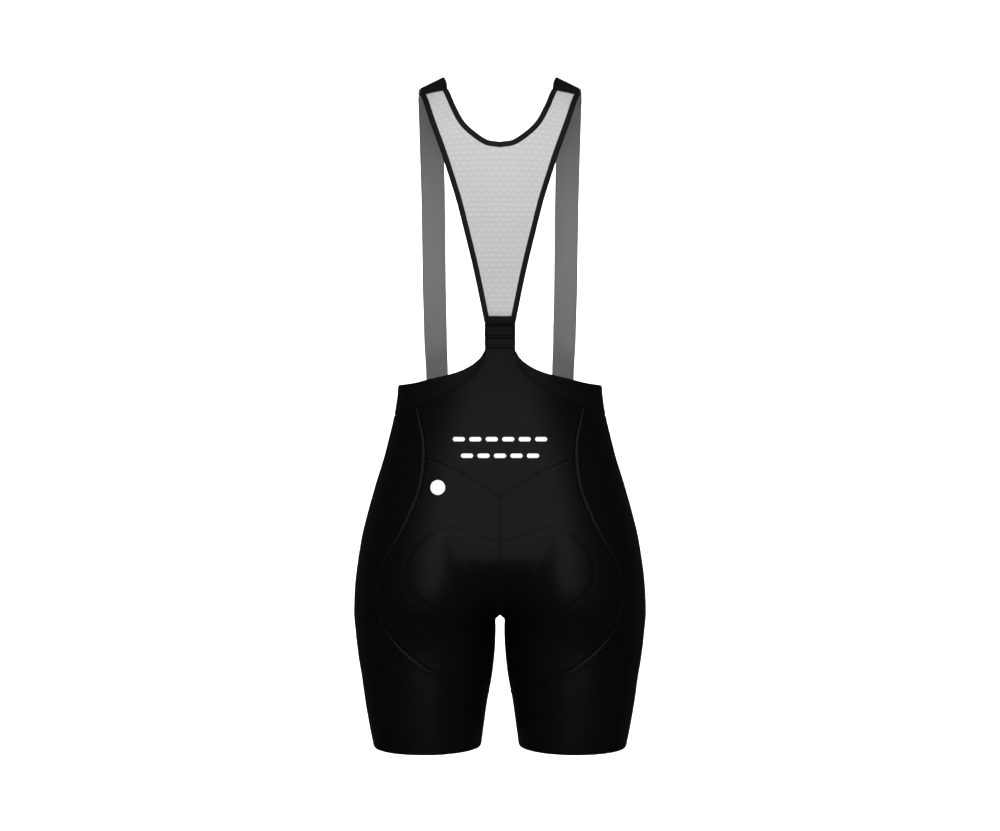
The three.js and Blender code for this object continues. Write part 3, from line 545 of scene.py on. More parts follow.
def fill(left, right, top, bottom, a, b):
    """Coons patch of places: the two ruled surfaces between opposite borders are added, and the
    bilinear surface of the four corners is taken off. a and b are the shares down and across."""
    a, b = a[:, None, None], b[None, :, None]
    ruled = (1 - a) * top[None] + a * bottom[None]
    across = (1 - b) * left[:, None] + b * right[:, None]
    corners = (1 - b) * ((1 - a) * top[0] + a * bottom[0]) + b * ((1 - a) * top[-1] + a * bottom[-1])
    return ruled + across - corners


def patch(left, right, top, bottom, rows, columns, length, width):
    """Places inside four borders whose rows and columns are numbered."""
    a, b = shares(length), shares(width)
    return fill(
        along(left, a * rows),
        along(right, a * rows),
        along(top, b * columns),
        along(bottom, b * columns),
        a,
        b,
    )


def seam_lines():
    """The seam lines of the shorts as places, with the rows at which they meet."""
    swoop = smooth_places(np.vstack([on_back(SWOOP_SEAM), [[0, SWOOP_END_Z]]]))
    swoop_upper, swoop_lower = cut(swoop, V_SEAM["z"][-1], column=1)
    v_seam = smooth_places(on_back(V_SEAM))
    v_seam[-1] = swoop_lower[0]
    heights = WAIST_SIDE_Z - WAIST_DIP["share"] * WAIST_FRONT_DIP
    waist = np.stack([WAIST_DIP["u"], heights], axis=-1)
    seam = np.vstack([on_back(BAND_SEAM), waist - (0, WAISTBAND_HEIGHT)])
    edge = np.vstack([on_back(TOP_EDGE), waist])
    parts = {"swoop_upper": swoop_upper, "swoop_lower": swoop_lower, "v_seam": v_seam}
    for name, line in (("seam", seam), ("edge", edge)):
        back, rest = cut(smooth_places(line), swoop_upper[0, 0])
        side, front = cut(rest, SIDE_SEAM["u"][0])
        parts.update({name + "_back": back, name + "_side": side, name + "_front": front})
    for line in ("swoop_upper", "seam_side"):
        parts[line][0] = parts["seam_back"][-1]
    sides = np.stack([SIDE_SEAM["u"], SIDE_SEAM["z"]], axis=-1)
    sides[0] = parts["seam_front"][0]
    parts["side_seam"] = (SIDE_SEAM["row"], sides)
    parts["side_line"] = along(parts["side_seam"], np.linspace(0, HEM_ROW, LONG_LINE))
    parts["inseam_upper"] = upright(0, CROTCH_Z, SWOOP_END_Z)
    parts["inseam_lower"] = upright(0, SWOOP_END_Z, HEM_Z)
    parts["centre_back"] = upright(0, V_SEAM["z"][0], CROTCH_Z)
    return parts


LINES = seam_lines()


# Meshes


def signed_volume(points, groups):
    """Six times the volume inside faces that share a number of corners, as fans of tetrahedra."""
    total = 0.0
    for faces in groups:
        corners = points[faces]
        for k in range(1, faces.shape[1] - 1):
            fans = np.cross(corners[:, k], corners[:, k + 1])
            total += float(np.sum(corners[:, 0] * fans))
    return total


def add_piece(name, points, groups, uv, materials, picks=None, sharp=50):
    """A new object at the origin from points in millimetres, with its faces turned outwards. Edges
    that turn by more than sharp, in degrees, stay crisp."""
    if signed_volume(points, groups) < 0:
        groups = [faces[:, ::-1] for faces in groups]
    mesh = bpy.data.meshes.new(name)
    mesh.from_pydata((points * MM).tolist(), [], [face for faces in groups for face in faces.tolist()])
    vertices = np.empty(len(mesh.loops), dtype=np.int32)
    mesh.loops.foreach_get("vertex_index", vertices)
    layer = mesh.uv_layers.new(name="cloth")
    layer.data.foreach_set("uv", np.asarray(uv, dtype=np.float32)[vertices].ravel())
    for material in materials:
        mesh.materials.append(material)
    if picks is not None:
        counts = [len(faces) for faces in groups]
        mesh.polygons.foreach_set("material_index", np.repeat(picks, counts).astype(np.int32))
    mesh.shade_smooth()
    mesh.set_sharp_from_angle(angle=np.radians(sharp))
    piece = bpy.data.objects.new(name, mesh)
    bpy.context.scene.collection.objects.link(piece)
    return piece


def wall_faces(rows, columns, start=0):
    """Faces of a closed wall between an outer and an inner grid: both sides and the rim."""
    count = rows * columns
    index = np.arange(count).reshape(rows, columns) + start
    corners = [index[:-1, :-1], index[:-1, 1:], index[1:, 1:], index[1:, :-1]]
    outer = np.stack(corners, axis=-1).reshape(-1, 4)
    border = np.concatenate([index[0, :-1], index[:-1, -1], index[-1, :0:-1], index[:0:-1, 0]])
    after = np.roll(border, -1)
    rim = np.stack([after, border, border + count, after + count], axis=-1)
    return outer, outer[:, ::-1] + count, rim


def add_walls(name, walls, materials, sharp=50):
    """One object from walls, each an outer grid, an inner grid and a grid of UV in millimetres."""
    points, groups, uv, start = [], [], [], 0
    for outer, inner, flat in walls:
        rows, columns = outer.shape[:2]
        groups.extend(wall_faces(rows, columns, start))
        points.extend([outer.reshape(-1, 3), inner.reshape(-1, 3)])
        uv.extend([flat.reshape(-1, 2), flat.reshape(-1, 2)])
        start += 2 * rows * columns
    inside = len(materials) - 1
    picks = [0, inside, inside] * len(walls)
    return add_piece(name, np.concatenate(points), groups, np.concatenate(uv), materials, picks, sharp)


def mirrored(wall):
    """A wall of the wearer's right, which is the left one mirrored in the centre plane."""
    outer, inner, flat = wall
    return outer * (-1, 1, 1), inner * (-1, 1, 1), flat * (-1, 1)


def add_pair(name, wall, materials):
    """The left and the right piece of a pair, each in the place of its node."""
    for side, points in (("left", wall), ("right", mirrored(wall))):
        piece = add_walls(f"{name}_{side}_cloth", [points], materials)
        dress(piece, f"{name}_{side}")


def dress(piece, node):
    """Puts a piece on the one body in the place of its node, and hides the model's part of that node."""
    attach(piece, ROOT)
    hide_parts(node)


def trim(piece, slot):
    """Puts a sewn or printed piece that has no node of its own on the one body."""
    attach(piece, ROOT)


# Relief of the cloth


def distance_to_line(points, line):
    """Shortest distance of each point from a line, over its straight stretches."""
    starts, steps = line[:-1], np.diff(line, axis=0)
    squares = np.maximum((steps * steps).sum(axis=1), 1e-9)
    flat = points.reshape(-1, 3)
    away = flat[:, None] - starts[None]
    share = clamp((away * steps).sum(axis=-1) / squares, 0, 1)
    gaps = np.linalg.norm(away - share[..., None] * steps, axis=-1)
    return gaps.min(axis=1).reshape(points.shape[:-1])


def thin(line, count=SHORT_LINE):
    """A line of places as fewer points on the shorts."""
    at = np.linspace(0, len(line) - 1, count).astype(int)
    return body(line[at, 0], line[at, 1])


def seam_relief(points, seams):
    """How far the cloth stands out beside its seams. Each seam draws the cloth in by its depth, as
    a bell curve of the distance, and the turned edges under it lift a low ridge beside it."""
    relief = np.zeros(points.shape[:-1])
    for line, depth, ridge in seams:
        away = distance_to_line(points, line)
        relief -= depth * np.exp(-((away / SEAM_HALF_WIDTH) ** 2))
        relief += ridge * np.exp(-(((away - RIDGE_PLACE) / RIDGE_HALF_WIDTH) ** 2))
    return relief


def pad_places():
    """The stitch line of the pad as places on the seat."""
    line = smooth_line(np.stack([PAD_LINE["x"], PAD_LINE["z"]], axis=-1), PAD_STEPS)
    return np.stack([around_at(line[:, 0], line[:, 1]), line[:, 1]], axis=-1), line


def inside_outline(x, z, outline):
    """Whether places lie inside a closed outline: a ray to the right crosses it an odd number of
    times."""
    ends = np.roll(outline, -1, axis=0)
    over = (outline[:, 1] > z[..., None]) != (ends[:, 1] > z[..., None])
    rise = np.where(ends[:, 1] == outline[:, 1], 1, ends[:, 1] - outline[:, 1])
    slope = (ends[:, 0] - outline[:, 0]) / rise
    cross = outline[:, 0] + (z[..., None] - outline[:, 1]) * slope
    return ((over & (x[..., None] < cross)).sum(axis=-1) % 2) == 1


def pad_relief(points):
    """The seat over the pad stands out by a soft step inside the stitch line, which is closed below
    the crotch and past the centre. The stitches draw it in, and both fade out downwards."""
    places, line = pad_places()
    away = distance_to_line(points, body(places[:, 0], places[:, 1]))
    outline = np.vstack([line, PAD_CLOSING, [[PAD_CLOSING[-1][0], line[0, 1]]]])
    inside = inside_outline(points[..., 0], points[..., 2], outline)
    fade = smooth_step((points[..., 2] - PAD_FADE_Z) / PAD_FADE)
    step = np.where(inside, smooth_step(away / PAD_STEP_WIDTH), 0)
    return fade * (PAD_STEP * step - STITCH_DIP * np.exp(-((away / STITCH_HALF_WIDTH) ** 2)))


GIRTH_U = np.linspace(0, 4, 161)
GIRTH_Z = np.linspace(HEM_Z - 1, -250, 160)
LAST_CELL = 1.001


def girth_table():
    """Lengths round the shorts from the centre back or the inseam, by height and by u."""
    points = body(GIRTH_U[None], GIRTH_Z[:, None])
    steps = np.linalg.norm(np.diff(points, axis=1), axis=-1)
    return np.concatenate([np.zeros((len(GIRTH_Z), 1)), np.cumsum(steps, axis=1)], axis=1)


GIRTH = girth_table()


def knit_uv(u, z):
    """UV in millimetres: the length round the shorts, from the table by bilinear steps, and z."""
    row = clamp((z - GIRTH_Z[0]) / (GIRTH_Z[1] - GIRTH_Z[0]), 0, len(GIRTH_Z) - LAST_CELL)
    column = clamp(np.abs(u) / GIRTH_U[1], 0, len(GIRTH_U) - LAST_CELL)
    i, j = row.astype(int), column.astype(int)
    s, t = row - i, column - j
    low = GIRTH[i, j] * (1 - t) + GIRTH[i, j + 1] * t
    high = GIRTH[i + 1, j] * (1 - t) + GIRTH[i + 1, j + 1] * t
    return np.stack([np.sign(u) * (low * (1 - s) + high * s), z], axis=-1)


def panel_wall(places, wall, seams, extra=None):
    """Outer grid, inner grid and UV of a cut piece of the shorts."""
    u, z = places[..., 0], places[..., 1]
    points, normals = body(u, z), body_normal(u, z)
    relief = seam_relief(points, seams)
    if extra is not None:
        relief = relief + extra(points)
    outer = points + normals * relief[..., None]
    return outer, outer - normals * wall, knit_uv(u, z)


# Colours and materials

MATH, VECTOR, RANGE = "ShaderNodeMath", "ShaderNodeVectorMath", "ShaderNodeMapRange"
NOISE = "ShaderNodeTexNoise"
# Mixes two colours: input 0 is the share of the second, and inputs 6 and 7 are the colours
COLOUR_MIX = {"kind": "ShaderNodeMix", "output": 2, "data_type": "RGBA"}
SOFT = {"interpolation_type": "SMOOTHSTEP"}


def linear(text):
    """Linear colour of an sRGB hex value: below 0.04045 it is divided by 12.92, and above that
    0.055 is added, the sum is divided by 1.055 and taken to the power 2.4."""
    values = np.array([int(text[k : k + 2], 16) / 255 for k in (1, 3, 5)])
    curve = np.where(values <= 0.04045, values / 12.92, ((values + 0.055) / 1.055) ** 2.4)
    return tuple(float(value) for value in curve)


def add_node(tree, kind, *values, inputs=None, output=0, **settings):
    """Adds a node with its settings, and gives one of its outputs. Its inputs take a value or a
    link, in their own order or by name."""
    node = tree.nodes.new(kind)
    for name, value in settings.items():
        setattr(node, name, value)
    for key, value in [*enumerate(values), *(inputs or {}).items()]:
        if isinstance(value, bpy.types.NodeSocket):
            tree.links.new(value, node.inputs[key])
        else:
            node.inputs[key].default_value = value
    return node.outputs[output] if node.outputs else None


def kept(name, finish, *values):
    """A material by name, made once. finish(tree, *values) gives the inputs of its shader, and its
    relief as a height, a strength and a depth in millimetres."""
    if name in bpy.data.materials:
        return bpy.data.materials[name]
    material = bpy.data.materials.new(name)
    material.use_nodes = True
    tree = material.node_tree
    tree.nodes.clear()
    inputs = finish(tree, *values)
    if "Relief" in inputs:
        height, strength, depth = inputs.pop("Relief")
        relief = {"Height": height, "Strength": strength, "Distance": depth * MM}
        inputs["Normal"] = add_node(tree, "ShaderNodeBump", inputs=relief)
    surface = add_node(tree, "ShaderNodeBsdfPrincipled", inputs=inputs)
    add_node(tree, "ShaderNodeOutputMaterial", surface)
    return material


def cloth_axes(tree):
    """The two lengths of the cloth's own UV, in millimetres."""
    uv = add_node(tree, "ShaderNodeUVMap", uv_map="cloth")
    return [add_node(tree, "ShaderNodeSeparateXYZ", uv, output=axis) for axis in (0, 1)]


def rgba(colour, share=1.0):
    """A share of a colour, with full alpha."""
    return (*(share * value for value in colour), 1.0)


def cloudy(tree, size_mm, first, second):
    """Two close colours, mixed by soft clouds of a size, as uneven dye and handling leave them."""
    place = add_node(tree, "ShaderNodeTexCoord", output=3)
    cloud = add_node(tree, NOISE, inputs={"Vector": place, "Scale": 1000 / size_mm, "Detail": 3.0})
    return add_node(tree, inputs={0: cloud, 6: first, 7: second}, **COLOUR_MIX)


def ribs(tree, place, pitch):
    """Height of rounded ribs: the sine of one turn for each pitch along a place."""
    turns = add_node(tree, MATH, place, 2 * np.pi / pitch, operation="MULTIPLY")
    return add_node(tree, MATH, turns, operation="SINE")


def knit_height(tree, wale, course):
    """Height of a jersey knit: ribs at the wale spacing, cut by courses that bend into chevrons."""
    across, down = cloth_axes(tree)
    fold = add_node(tree, MATH, across, wale / 2, operation="PINGPONG")
    bent = add_node(tree, MATH, fold, 1.2, down, operation="MULTIPLY_ADD")
    stitch = add_node(tree, MATH, ribs(tree, bent, course), 0.3, operation="MULTIPLY")
    return add_node(tree, MATH, fold, 2.0 / wale, stitch, operation="MULTIPLY_ADD")


def warp_knit(tree, colour, lighter, roughness):
    """Warp-knitted polyamide and elastane: a close matt black face with a faint sheen. The threads
    are really about 0.4 mm apart, and are drawn at 1.3 mm, which is as fine as the render shows."""
    return {
        "Base Color": cloudy(tree, 90, rgba(colour), rgba(lighter)),
        "Roughness": roughness,
        "Specular IOR Level": KNIT_SPECULAR,
        "Relief": (knit_height(tree, wale=1.3, course=1.5), 0.25, 0.12),
    }


def mesh_knit(tree, colour, dot_highlight, shade):
    """Knitted polyester mesh, close and pale, with soft raised dots in brick rows, 8.3 mm apart in rows 5.8
    mm apart, painted lighter as a highlight, and a faint groove between the rows, sunk and painted darker as
    shade."""
    across, down = cloth_axes(tree)
    row_place = add_node(tree, MATH, down, DOT_ROW, operation="DIVIDE")
    row = add_node(tree, MATH, row_place, operation="FLOOR")
    odd = add_node(tree, MATH, row, 2.0, operation="FLOORED_MODULO")
    shift = add_node(tree, MATH, odd, 0.5, operation="MULTIPLY")
    moved = add_node(tree, MATH, across, 1 / DOT_PITCH, shift, operation="MULTIPLY_ADD")
    place = add_node(tree, "ShaderNodeCombineXYZ", moved, row_place)
    cell = add_node(tree, VECTOR, place, operation="FRACTION")
    centred = add_node(tree, VECTOR, cell, (0.5, 0.5, 0.0), operation="SUBTRACT")
    spot = add_node(tree, VECTOR, centred, (DOT_PITCH, DOT_ROW, 0.0), operation="MULTIPLY")
    away = add_node(tree, VECTOR, spot, output=1, operation="LENGTH")
    upward = add_node(tree, "ShaderNodeSeparateXYZ", centred, output=1)
    off_row = add_node(tree, MATH, upward, operation="ABSOLUTE")
    # The raised dots are painted lighter, as a highlight, and also raised in the relief
    dots = add_node(tree, RANGE, away, DOT_RADIUS, DOT_CROWN, 0.0, DOT_SHARE, **SOFT)
    # The grooves between the rows are painted darker, as shade, and also sunk in the relief
    sunk_and_shaded = add_node(tree, RANGE, off_row, SUNK_AND_SHADED_START, 0.5, 0.0, SUNK_AND_SHADED_SHARE, **SOFT)
    base = cloudy(tree, 40, rgba(colour), rgba(colour, 0.94))
    shaded = add_node(tree, inputs={0: sunk_and_shaded, 6: base, 7: rgba(shade)}, **COLOUR_MIX)
    knit = knit_height(tree, wale=1.4, course=1.1)
    grain = add_node(tree, MATH, knit, 0.08, operation="MULTIPLY")
    sunk = add_node(tree, MATH, sunk_and_shaded, -1.1, grain, operation="MULTIPLY_ADD")
    return {
        "Base Color": add_node(tree, inputs={0: dots, 6: shaded, 7: rgba(dot_highlight)}, **COLOUR_MIX),
        "Roughness": 0.85,
        "Specular IOR Level": 0.2,
        "Relief": (add_node(tree, MATH, dots, sunk, operation="ADD"), 0.4, 0.4),
    }


def folded_tape(tree, colour):
    """Folded knitted binding tape: matt black, with fine ribs across and a row of flat stitches
    1.6 mm from its edge."""
    across, down = cloth_axes(tree)
    off_line = add_node(tree, MATH, across, 1.6, operation="SUBTRACT")
    near = add_node(tree, MATH, off_line, operation="ABSOLUTE")
    line = add_node(tree, RANGE, near, 0.7, 0.2)
    stitch = add_node(tree, MATH, line, ribs(tree, down, pitch=2.6), operation="MULTIPLY")
    fine = add_node(tree, MATH, ribs(tree, down, pitch=1.1), 0.4, operation="MULTIPLY")
    colours = {0: line, 6: rgba(colour), 7: rgba(colour, 1.35)}
    return {
        "Base Color": add_node(tree, inputs=colours, **COLOUR_MIX),
        "Roughness": 0.7,
        "Specular IOR Level": MATT_SPECULAR,
        "Relief": (add_node(tree, MATH, stitch, fine, operation="ADD"), 0.5, 0.12),
    }


def woven_elastic(tree, colour, edge_colour, half_width):
    """Woven flat elastic: matt lengthwise ribs 1.05 mm apart, crossed by fine picks, turning to its edge
    colour within 1.6 mm of each side."""
    across, down = cloth_axes(tree)
    rib = ribs(tree, across, pitch=1.05)
    picks = ribs(tree, down, pitch=0.9)
    height = add_node(tree, MATH, picks, 0.35, rib, operation="MULTIPLY_ADD")
    shadow = add_node(tree, RANGE, rib, -1.0, 0.2)
    off_centre = add_node(tree, MATH, across, operation="ABSOLUTE")
    # Within 1.6 mm of each side the colour turns to the edge colour
    edge = add_node(tree, RANGE, off_centre, half_width - 1.6, half_width - 1.1)
    shades = {0: shadow, 6: rgba(colour, 0.82), 7: rgba(colour)}
    ribbed = add_node(tree, inputs=shades, **COLOUR_MIX)
    return {
        "Base Color": add_node(tree, inputs={0: edge, 6: ribbed, 7: rgba(edge_colour)}, **COLOUR_MIX),
        "Roughness": 0.75,
        "Specular IOR Level": MATT_SPECULAR,
        "Relief": (height, 0.4, 0.18),
    }


def moulded_nylon(tree, colour):
    """Injection-moulded nylon: black, satin, with a fine spark-eroded grain of about 0.6 mm."""
    place = add_node(tree, "ShaderNodeTexCoord", output=3)
    grain = add_node(tree, NOISE, inputs={"Vector": place, "Scale": 1000 / 0.625, "Detail": 2.0})
    return {
        "Base Color": rgba(colour),
        "Roughness": add_node(tree, RANGE, grain, 0.3, 0.7, 0.36, 0.48),
        "IOR": 1.53,
        "Specular IOR Level": 0.025,
        "Relief": (grain, 0.3, 0.04),
    }


def transfer_film(tree, colour):
    """Heat-pressed film with glass beads: pale silver, smooth, with a faint bead grain of about
    0.7 mm."""
    place = add_node(tree, "ShaderNodeTexCoord", output=3)
    beads = add_node(tree, "ShaderNodeTexVoronoi", inputs={"Vector": place, "Scale": 1400.0})
    return {
        "Base Color": cloudy(tree, 12, rgba(colour), rgba(colour, 0.9)),
        "Roughness": 0.42,
        "Relief": (beads, 0.2, 0.05),
    }


def sewing_thread(tree, colour):
    """Spun polyester sewing thread: matt, with a 1 mm twist whose crests are painted lighter as a highlight.
    """
    across, down = cloth_axes(tree)
    twist = ribs(tree, add_node(tree, MATH, across, down, operation="ADD"), pitch=1.0)
    # The crests of the twist are painted lighter, as a highlight
    share = add_node(tree, RANGE, twist, -1.0, 1.0)
    colours = {0: share, 6: rgba(colour), 7: rgba(colour, 1.4)}
    return {
        "Base Color": add_node(tree, inputs=colours, **COLOUR_MIX),
        "Roughness": 0.65,
        "Specular IOR Level": MATT_SPECULAR,
        "Relief": (twist, 0.4, 0.1),
    }


def studio_paper(tree, colour):
    """Seamless matt background paper, with a grain too fine to show."""
    return {
        "Base Color": cloudy(tree, 125, rgba(colour), rgba(colour, 0.99)),
        "Roughness": 0.95,
        "Specular IOR Level": 0.1,
    }


def shorts_cloth(settings):
    """The knit of the shorts, outside and inside."""
    outside = kept("warp_knit_polyamide", warp_knit, settings.knit_colour, settings.knit_light, 0.47)
    inside = kept("warp_knit_inside", warp_knit, settings.inside_colour, settings.inside_colour, 0.7)
    return [outside, inside]


# Sizes and colours that a user would change


def length(name, description, default):
    """A property in metres."""
    return FloatProperty(
        name=name, description=description, default=default, min=0.0, subtype="DISTANCE", unit="LENGTH"
    )


def colour(name, description, text):
    """A property that is a colour."""
    return FloatVectorProperty(
        name=name, description=description, default=linear(text), size=3, min=0, max=1, subtype="COLOR"
    )


class ShortsSettings(PropertyGroup):
    """The knitted panels and the waistband."""

    knit_colour: colour("Knit", "Colour of the knitted panels", "#050505")
    knit_light: colour("Knit, lighter", "Lighter clouds in the dye of the panels", "#070708")
    inside_colour: colour("Inside", "Colour of the inner face of the panels", "#0c0c0d")
    band_colour: colour("Waistband", "Colour of the waistband", "#080808")
    wall: length("Cloth", "Thickness of the panels", 0.0011)
    seam_depth: length("Seam depth", "How far a seam draws the cloth in", 0.00075)
    ridge: length("Seam ridge", "Height of the turned edges beside the side seam", 0.0005)


class UpperSettings(PropertyGroup):
    """The mesh back, its bindings and the straps."""

    mesh_colour: colour("Mesh", "Colour of the mesh cloth", "#a8a8a8")
    # The raised dots are painted lighter as a highlight, and the grooves between the rows darker as shade
    dot_highlight_colour: colour("Dots", "Colour of the raised dots", "#b9b9b9")
    painted_shade_colour: colour("Mesh shade", "Colour between the rows of dots", "#999999")
    mesh_wall: length("Mesh", "Thickness of the mesh cloth", 0.001)
    binding_colour: colour("Binding", "Colour of the bindings", "#0d0d0d")
    strap_colour: colour("Strap outside", "Colour of the outer face of the straps", "#0a0a0a")
    strap_inner: colour("Strap inside", "Colour of the inner face of the straps", "#757575")
    strap_width: length("Strap width", "Width of the straps", 0.031)
    strap_wall: length("Strap", "Thickness of the straps", 0.0012)


class TrimSettings(PropertyGroup):
    """The clip, the stitching and the marks."""

    clip_colour: colour("Clip", "Colour of the moulded clip", "#070707")
    clip_width: length("Clip width", "Width of the clip", 0.0356)
    clip_depth: length("Clip depth", "Thickness of the clip", 0.0045)
    thread_colour: colour("Thread", "Colour of the sewing thread", "#0c0c0d")
    stitch_pitch: length("Stitch pitch", "Length of one zigzag", 0.0024)
    film_colour: colour("Film", "Colour of the reflective marks", "#dcdcde")


class StageSettings(PropertyGroup):
    """The floor, the lights and the camera."""

    paper_colour: colour("Paper", "Colour of the floor and backdrop", "#f6f6f6")
    floor_drop: length("Floor", "How far the floor lies below the hems", 0.5)
    camera_distance: length("Camera", "Distance of the camera from the middle of the object", 2.4)
    key_power: FloatProperty(name="Key light", description="Power of the key light in watts", default=30.0)
    paper_power: FloatProperty(
        name="Backdrop light", description="Power of each light on the backdrop in watts", default=42.0
    )


class BibShortsSettings(PropertyGroup):
    """All the settings of the bib shorts."""

    shorts: PointerProperty(type=ShortsSettings)
    upper: PointerProperty(type=UpperSettings)
    trim: PointerProperty(type=TrimSettings)
    stage: PointerProperty(type=StageSettings)


# Pieces of the shorts


def add_panels(settings, name, places, seams, extra=None):
    """The left and the right panel of a pair, over their places on the left."""
    wall = panel_wall(places, settings.wall / MM, seams, extra)
    add_pair(name, wall, shorts_cloth(settings))


class BIBSHORTS_OT_yoke(Operator):
    """Centre back panel, from the narrow neck under the clip to the V seam"""

    bl_idname = "bibshorts.yoke"
    bl_label = "Yoke"

    def execute(self, context):
        settings = context.scene.bib_shorts.shorts
        corner = (float(around_at(YOKE_NECK_HALF, YOKE_TOP_Z)), YOKE_TOP_Z)
        neck = level(0, corner[0], YOKE_TOP_Z)
        flank = np.linspace(corner, LINES["seam_back"][0], FINE)
        top = border([(neck, 0, 2), (flank, 2, 3), (LINES["seam_back"], 3, BACK_COLUMNS)])
        centre = border([(upright(0, YOKE_TOP_Z, V_SEAM["z"][0]), 0, V_ROW)])
        swoop = border([(LINES["swoop_upper"], 0, V_ROW)])
        v_seam = border([(LINES["v_seam"], 0, BACK_COLUMNS)])
        half = patch(centre, swoop, top, v_seam, V_ROW, BACK_COLUMNS, length=130, width=116)
        whole = np.concatenate([half[:, :0:-1] * (-1, 1), half], axis=1)
        dip = SOFT_SEAM * settings.seam_depth / MM
        lines = [thin(LINES[name]) for name in ("v_seam", "seam_back", "swoop_upper")]
        seams = [(line * (side, 1, 1), dip, YOKE_RIDGE) for line in lines for side in (1, -1)]
        wall = panel_wall(whole, settings.wall / MM, seams)
        dress(add_walls("yoke_back_cloth", [wall], shorts_cloth(settings)), "yoke_back")
        return {"FINISHED"}


class BIBSHORTS_OT_waistband(Operator):
    """Wide flat waistband, which tapers out at the neck and dips at the front"""

    bl_idname = "bibshorts.waistband"
    bl_label = "Waistband"

    def execute(self, context):
        settings = context.scene.bib_shorts.shorts
        parts = list(zip(("_back", "_side", "_front"), WAIST_COLUMNS, WAIST_COLUMNS[1:]))
        seam, edge = (
            border([(LINES[name + part], start, end) for part, start, end in parts])
            for name in ("seam", "edge")
        )
        ends = [border([(np.linspace(edge[1][k], seam[1][k], FINE), 0, 2)]) for k in (0, -1)]
        places = patch(*ends, edge, seam, 2, WAIST_COLUMNS[-1], length=34, width=350)
        seams = [
            (thin(seam[1], BAND_LINE), settings.seam_depth / MM, SIDE_RIDGE),
            (thin(edge[1], BAND_LINE), EDGE_DIP, EDGE_RIDGE),
        ]
        black = settings.band_colour
        outside = kept("bonded_elastic_cloth", warp_knit, black, black, 0.52)
        wall = panel_wall(places, settings.wall / MM, seams)
        add_pair("waistband", wall, [outside, shorts_cloth(settings)[1]])
        return {"FINISHED"}


class BIBSHORTS_OT_seats(Operator):
    """Seat panels, with the centre seam between them and the relief of the pad"""

    bl_idname = "bibshorts.seats"
    bl_label = "Seat panels"

    def execute(self, context):
        settings = context.scene.bib_shorts.shorts
        rows = INSEAM_ROW - V_ROW
        centre, swoop = (border([(LINES[name], 0, rows)]) for name in ("centre_back", "swoop_lower"))
        top, inseam = (border([(LINES[name], 0, BACK_COLUMNS)]) for name in ("v_seam", "inseam_upper"))
        places = patch(centre, swoop, top, inseam, rows, BACK_COLUMNS, length=300, width=130)
        depth = settings.seam_depth / MM
        seams = [
            (thin(LINES["centre_back"]), CENTRE_SEAM * depth, CENTRE_RIDGE),
            (thin(LINES["swoop_lower"], LONG_LINE), depth, SEAT_RIDGE),
            (thin(LINES["v_seam"]), SOFT_SEAM * depth, YOKE_RIDGE),
            (thin(LINES["inseam_upper"]), SOFT_SEAM * depth, 0.0),
        ]
        add_panels(settings, "seat", places, seams, pad_relief)
        return {"FINISHED"}


class BIBSHORTS_OT_sides(Operator):
    """Side panels, which swoop round the back of the thigh to the inseam"""

    bl_idname = "bibshorts.sides"
    bl_label = "Side panels"

    def execute(self, context):
        settings = context.scene.bib_shorts.shorts
        ends = (0, V_ROW, INSEAM_ROW, HEM_ROW)
        parts = zip(("swoop_upper", "swoop_lower", "inseam_lower"), ends, ends[1:])
        back = border([(LINES[name], start, end) for name, start, end in parts])
        side = LINES["side_seam"]
        top = border([(LINES["seam_side"], 0, BACK_COLUMNS)])
        hem = border([(level(0, side[1][-1, 0], HEM_Z), 0, BACK_COLUMNS)])
        places = patch(back, side, top, hem, HEM_ROW, BACK_COLUMNS, length=440, width=200)
        depth, ridge = settings.seam_depth / MM, settings.ridge / MM
        seams = [
            (thin(LINES["swoop_upper"]), depth, ridge),
            (thin(LINES["swoop_lower"], LONG_LINE), depth, ridge),
            (thin(LINES["inseam_lower"]), SOFT_SEAM * depth, 0.0),
            (thin(LINES["seam_side"]), depth, SIDE_RIDGE),
            (thin(LINES["side_line"], LONG_LINE), depth, SIDE_RIDGE),
            (thin(hem[1], HEM_LINE), HEM_DIP, HEM_RIDGE),
        ]
        add_panels(settings, "side_leg", places, seams)
        return {"FINISHED"}


class BIBSHORTS_OT_fronts(Operator):
    """Front panels, with the centre seam between them"""

    bl_idname = "bibshorts.fronts"
    bl_label = "Front panels"

    def execute(self, context):
        settings = context.scene.bib_shorts.shorts
        side = LINES["side_seam"]
        centre = upright(4, LINES["seam_front"][-1, 1], CROTCH_Z)
        inner_lines = [centre, LINES["inseam_upper"] + (4, 0), LINES["inseam_lower"] + (4, 0)]
        ends = (0, CROTCH_ROW, INSEAM_ROW, HEM_ROW)
        inner = border(list(zip(inner_lines, ends, ends[1:])))
        top = border([(LINES["seam_front"], 0, FRONT_COLUMNS)])
        hem = border([(level(side[1][-1, 0], 4, HEM_Z), 0, FRONT_COLUMNS)])
        places = patch(side, inner, top, hem, HEM_ROW, FRONT_COLUMNS, length=420, width=150)
        depth = settings.seam_depth / MM
        seams = [
            (thin(LINES["side_line"], LONG_LINE), depth, SIDE_RIDGE),
            *((thin(line), SOFT_SEAM * depth, 0.0) for line in inner_lines),
            (thin(LINES["seam_front"]), depth, SIDE_RIDGE),
            (thin(hem[1], HEM_LINE), HEM_DIP, HEM_RIDGE),
        ]
        add_panels(settings, "front", places, seams)
        return {"FINISHED"}


# Pieces of the upper body


def neck_and_arm():
    """The neckline and the armhole as close places on the upper body."""
    lines = (np.stack([rows["x"], rows["s"]], axis=-1) for rows in (NECKLINE, ARMHOLE))
    return [smooth_line(line) for line in lines]


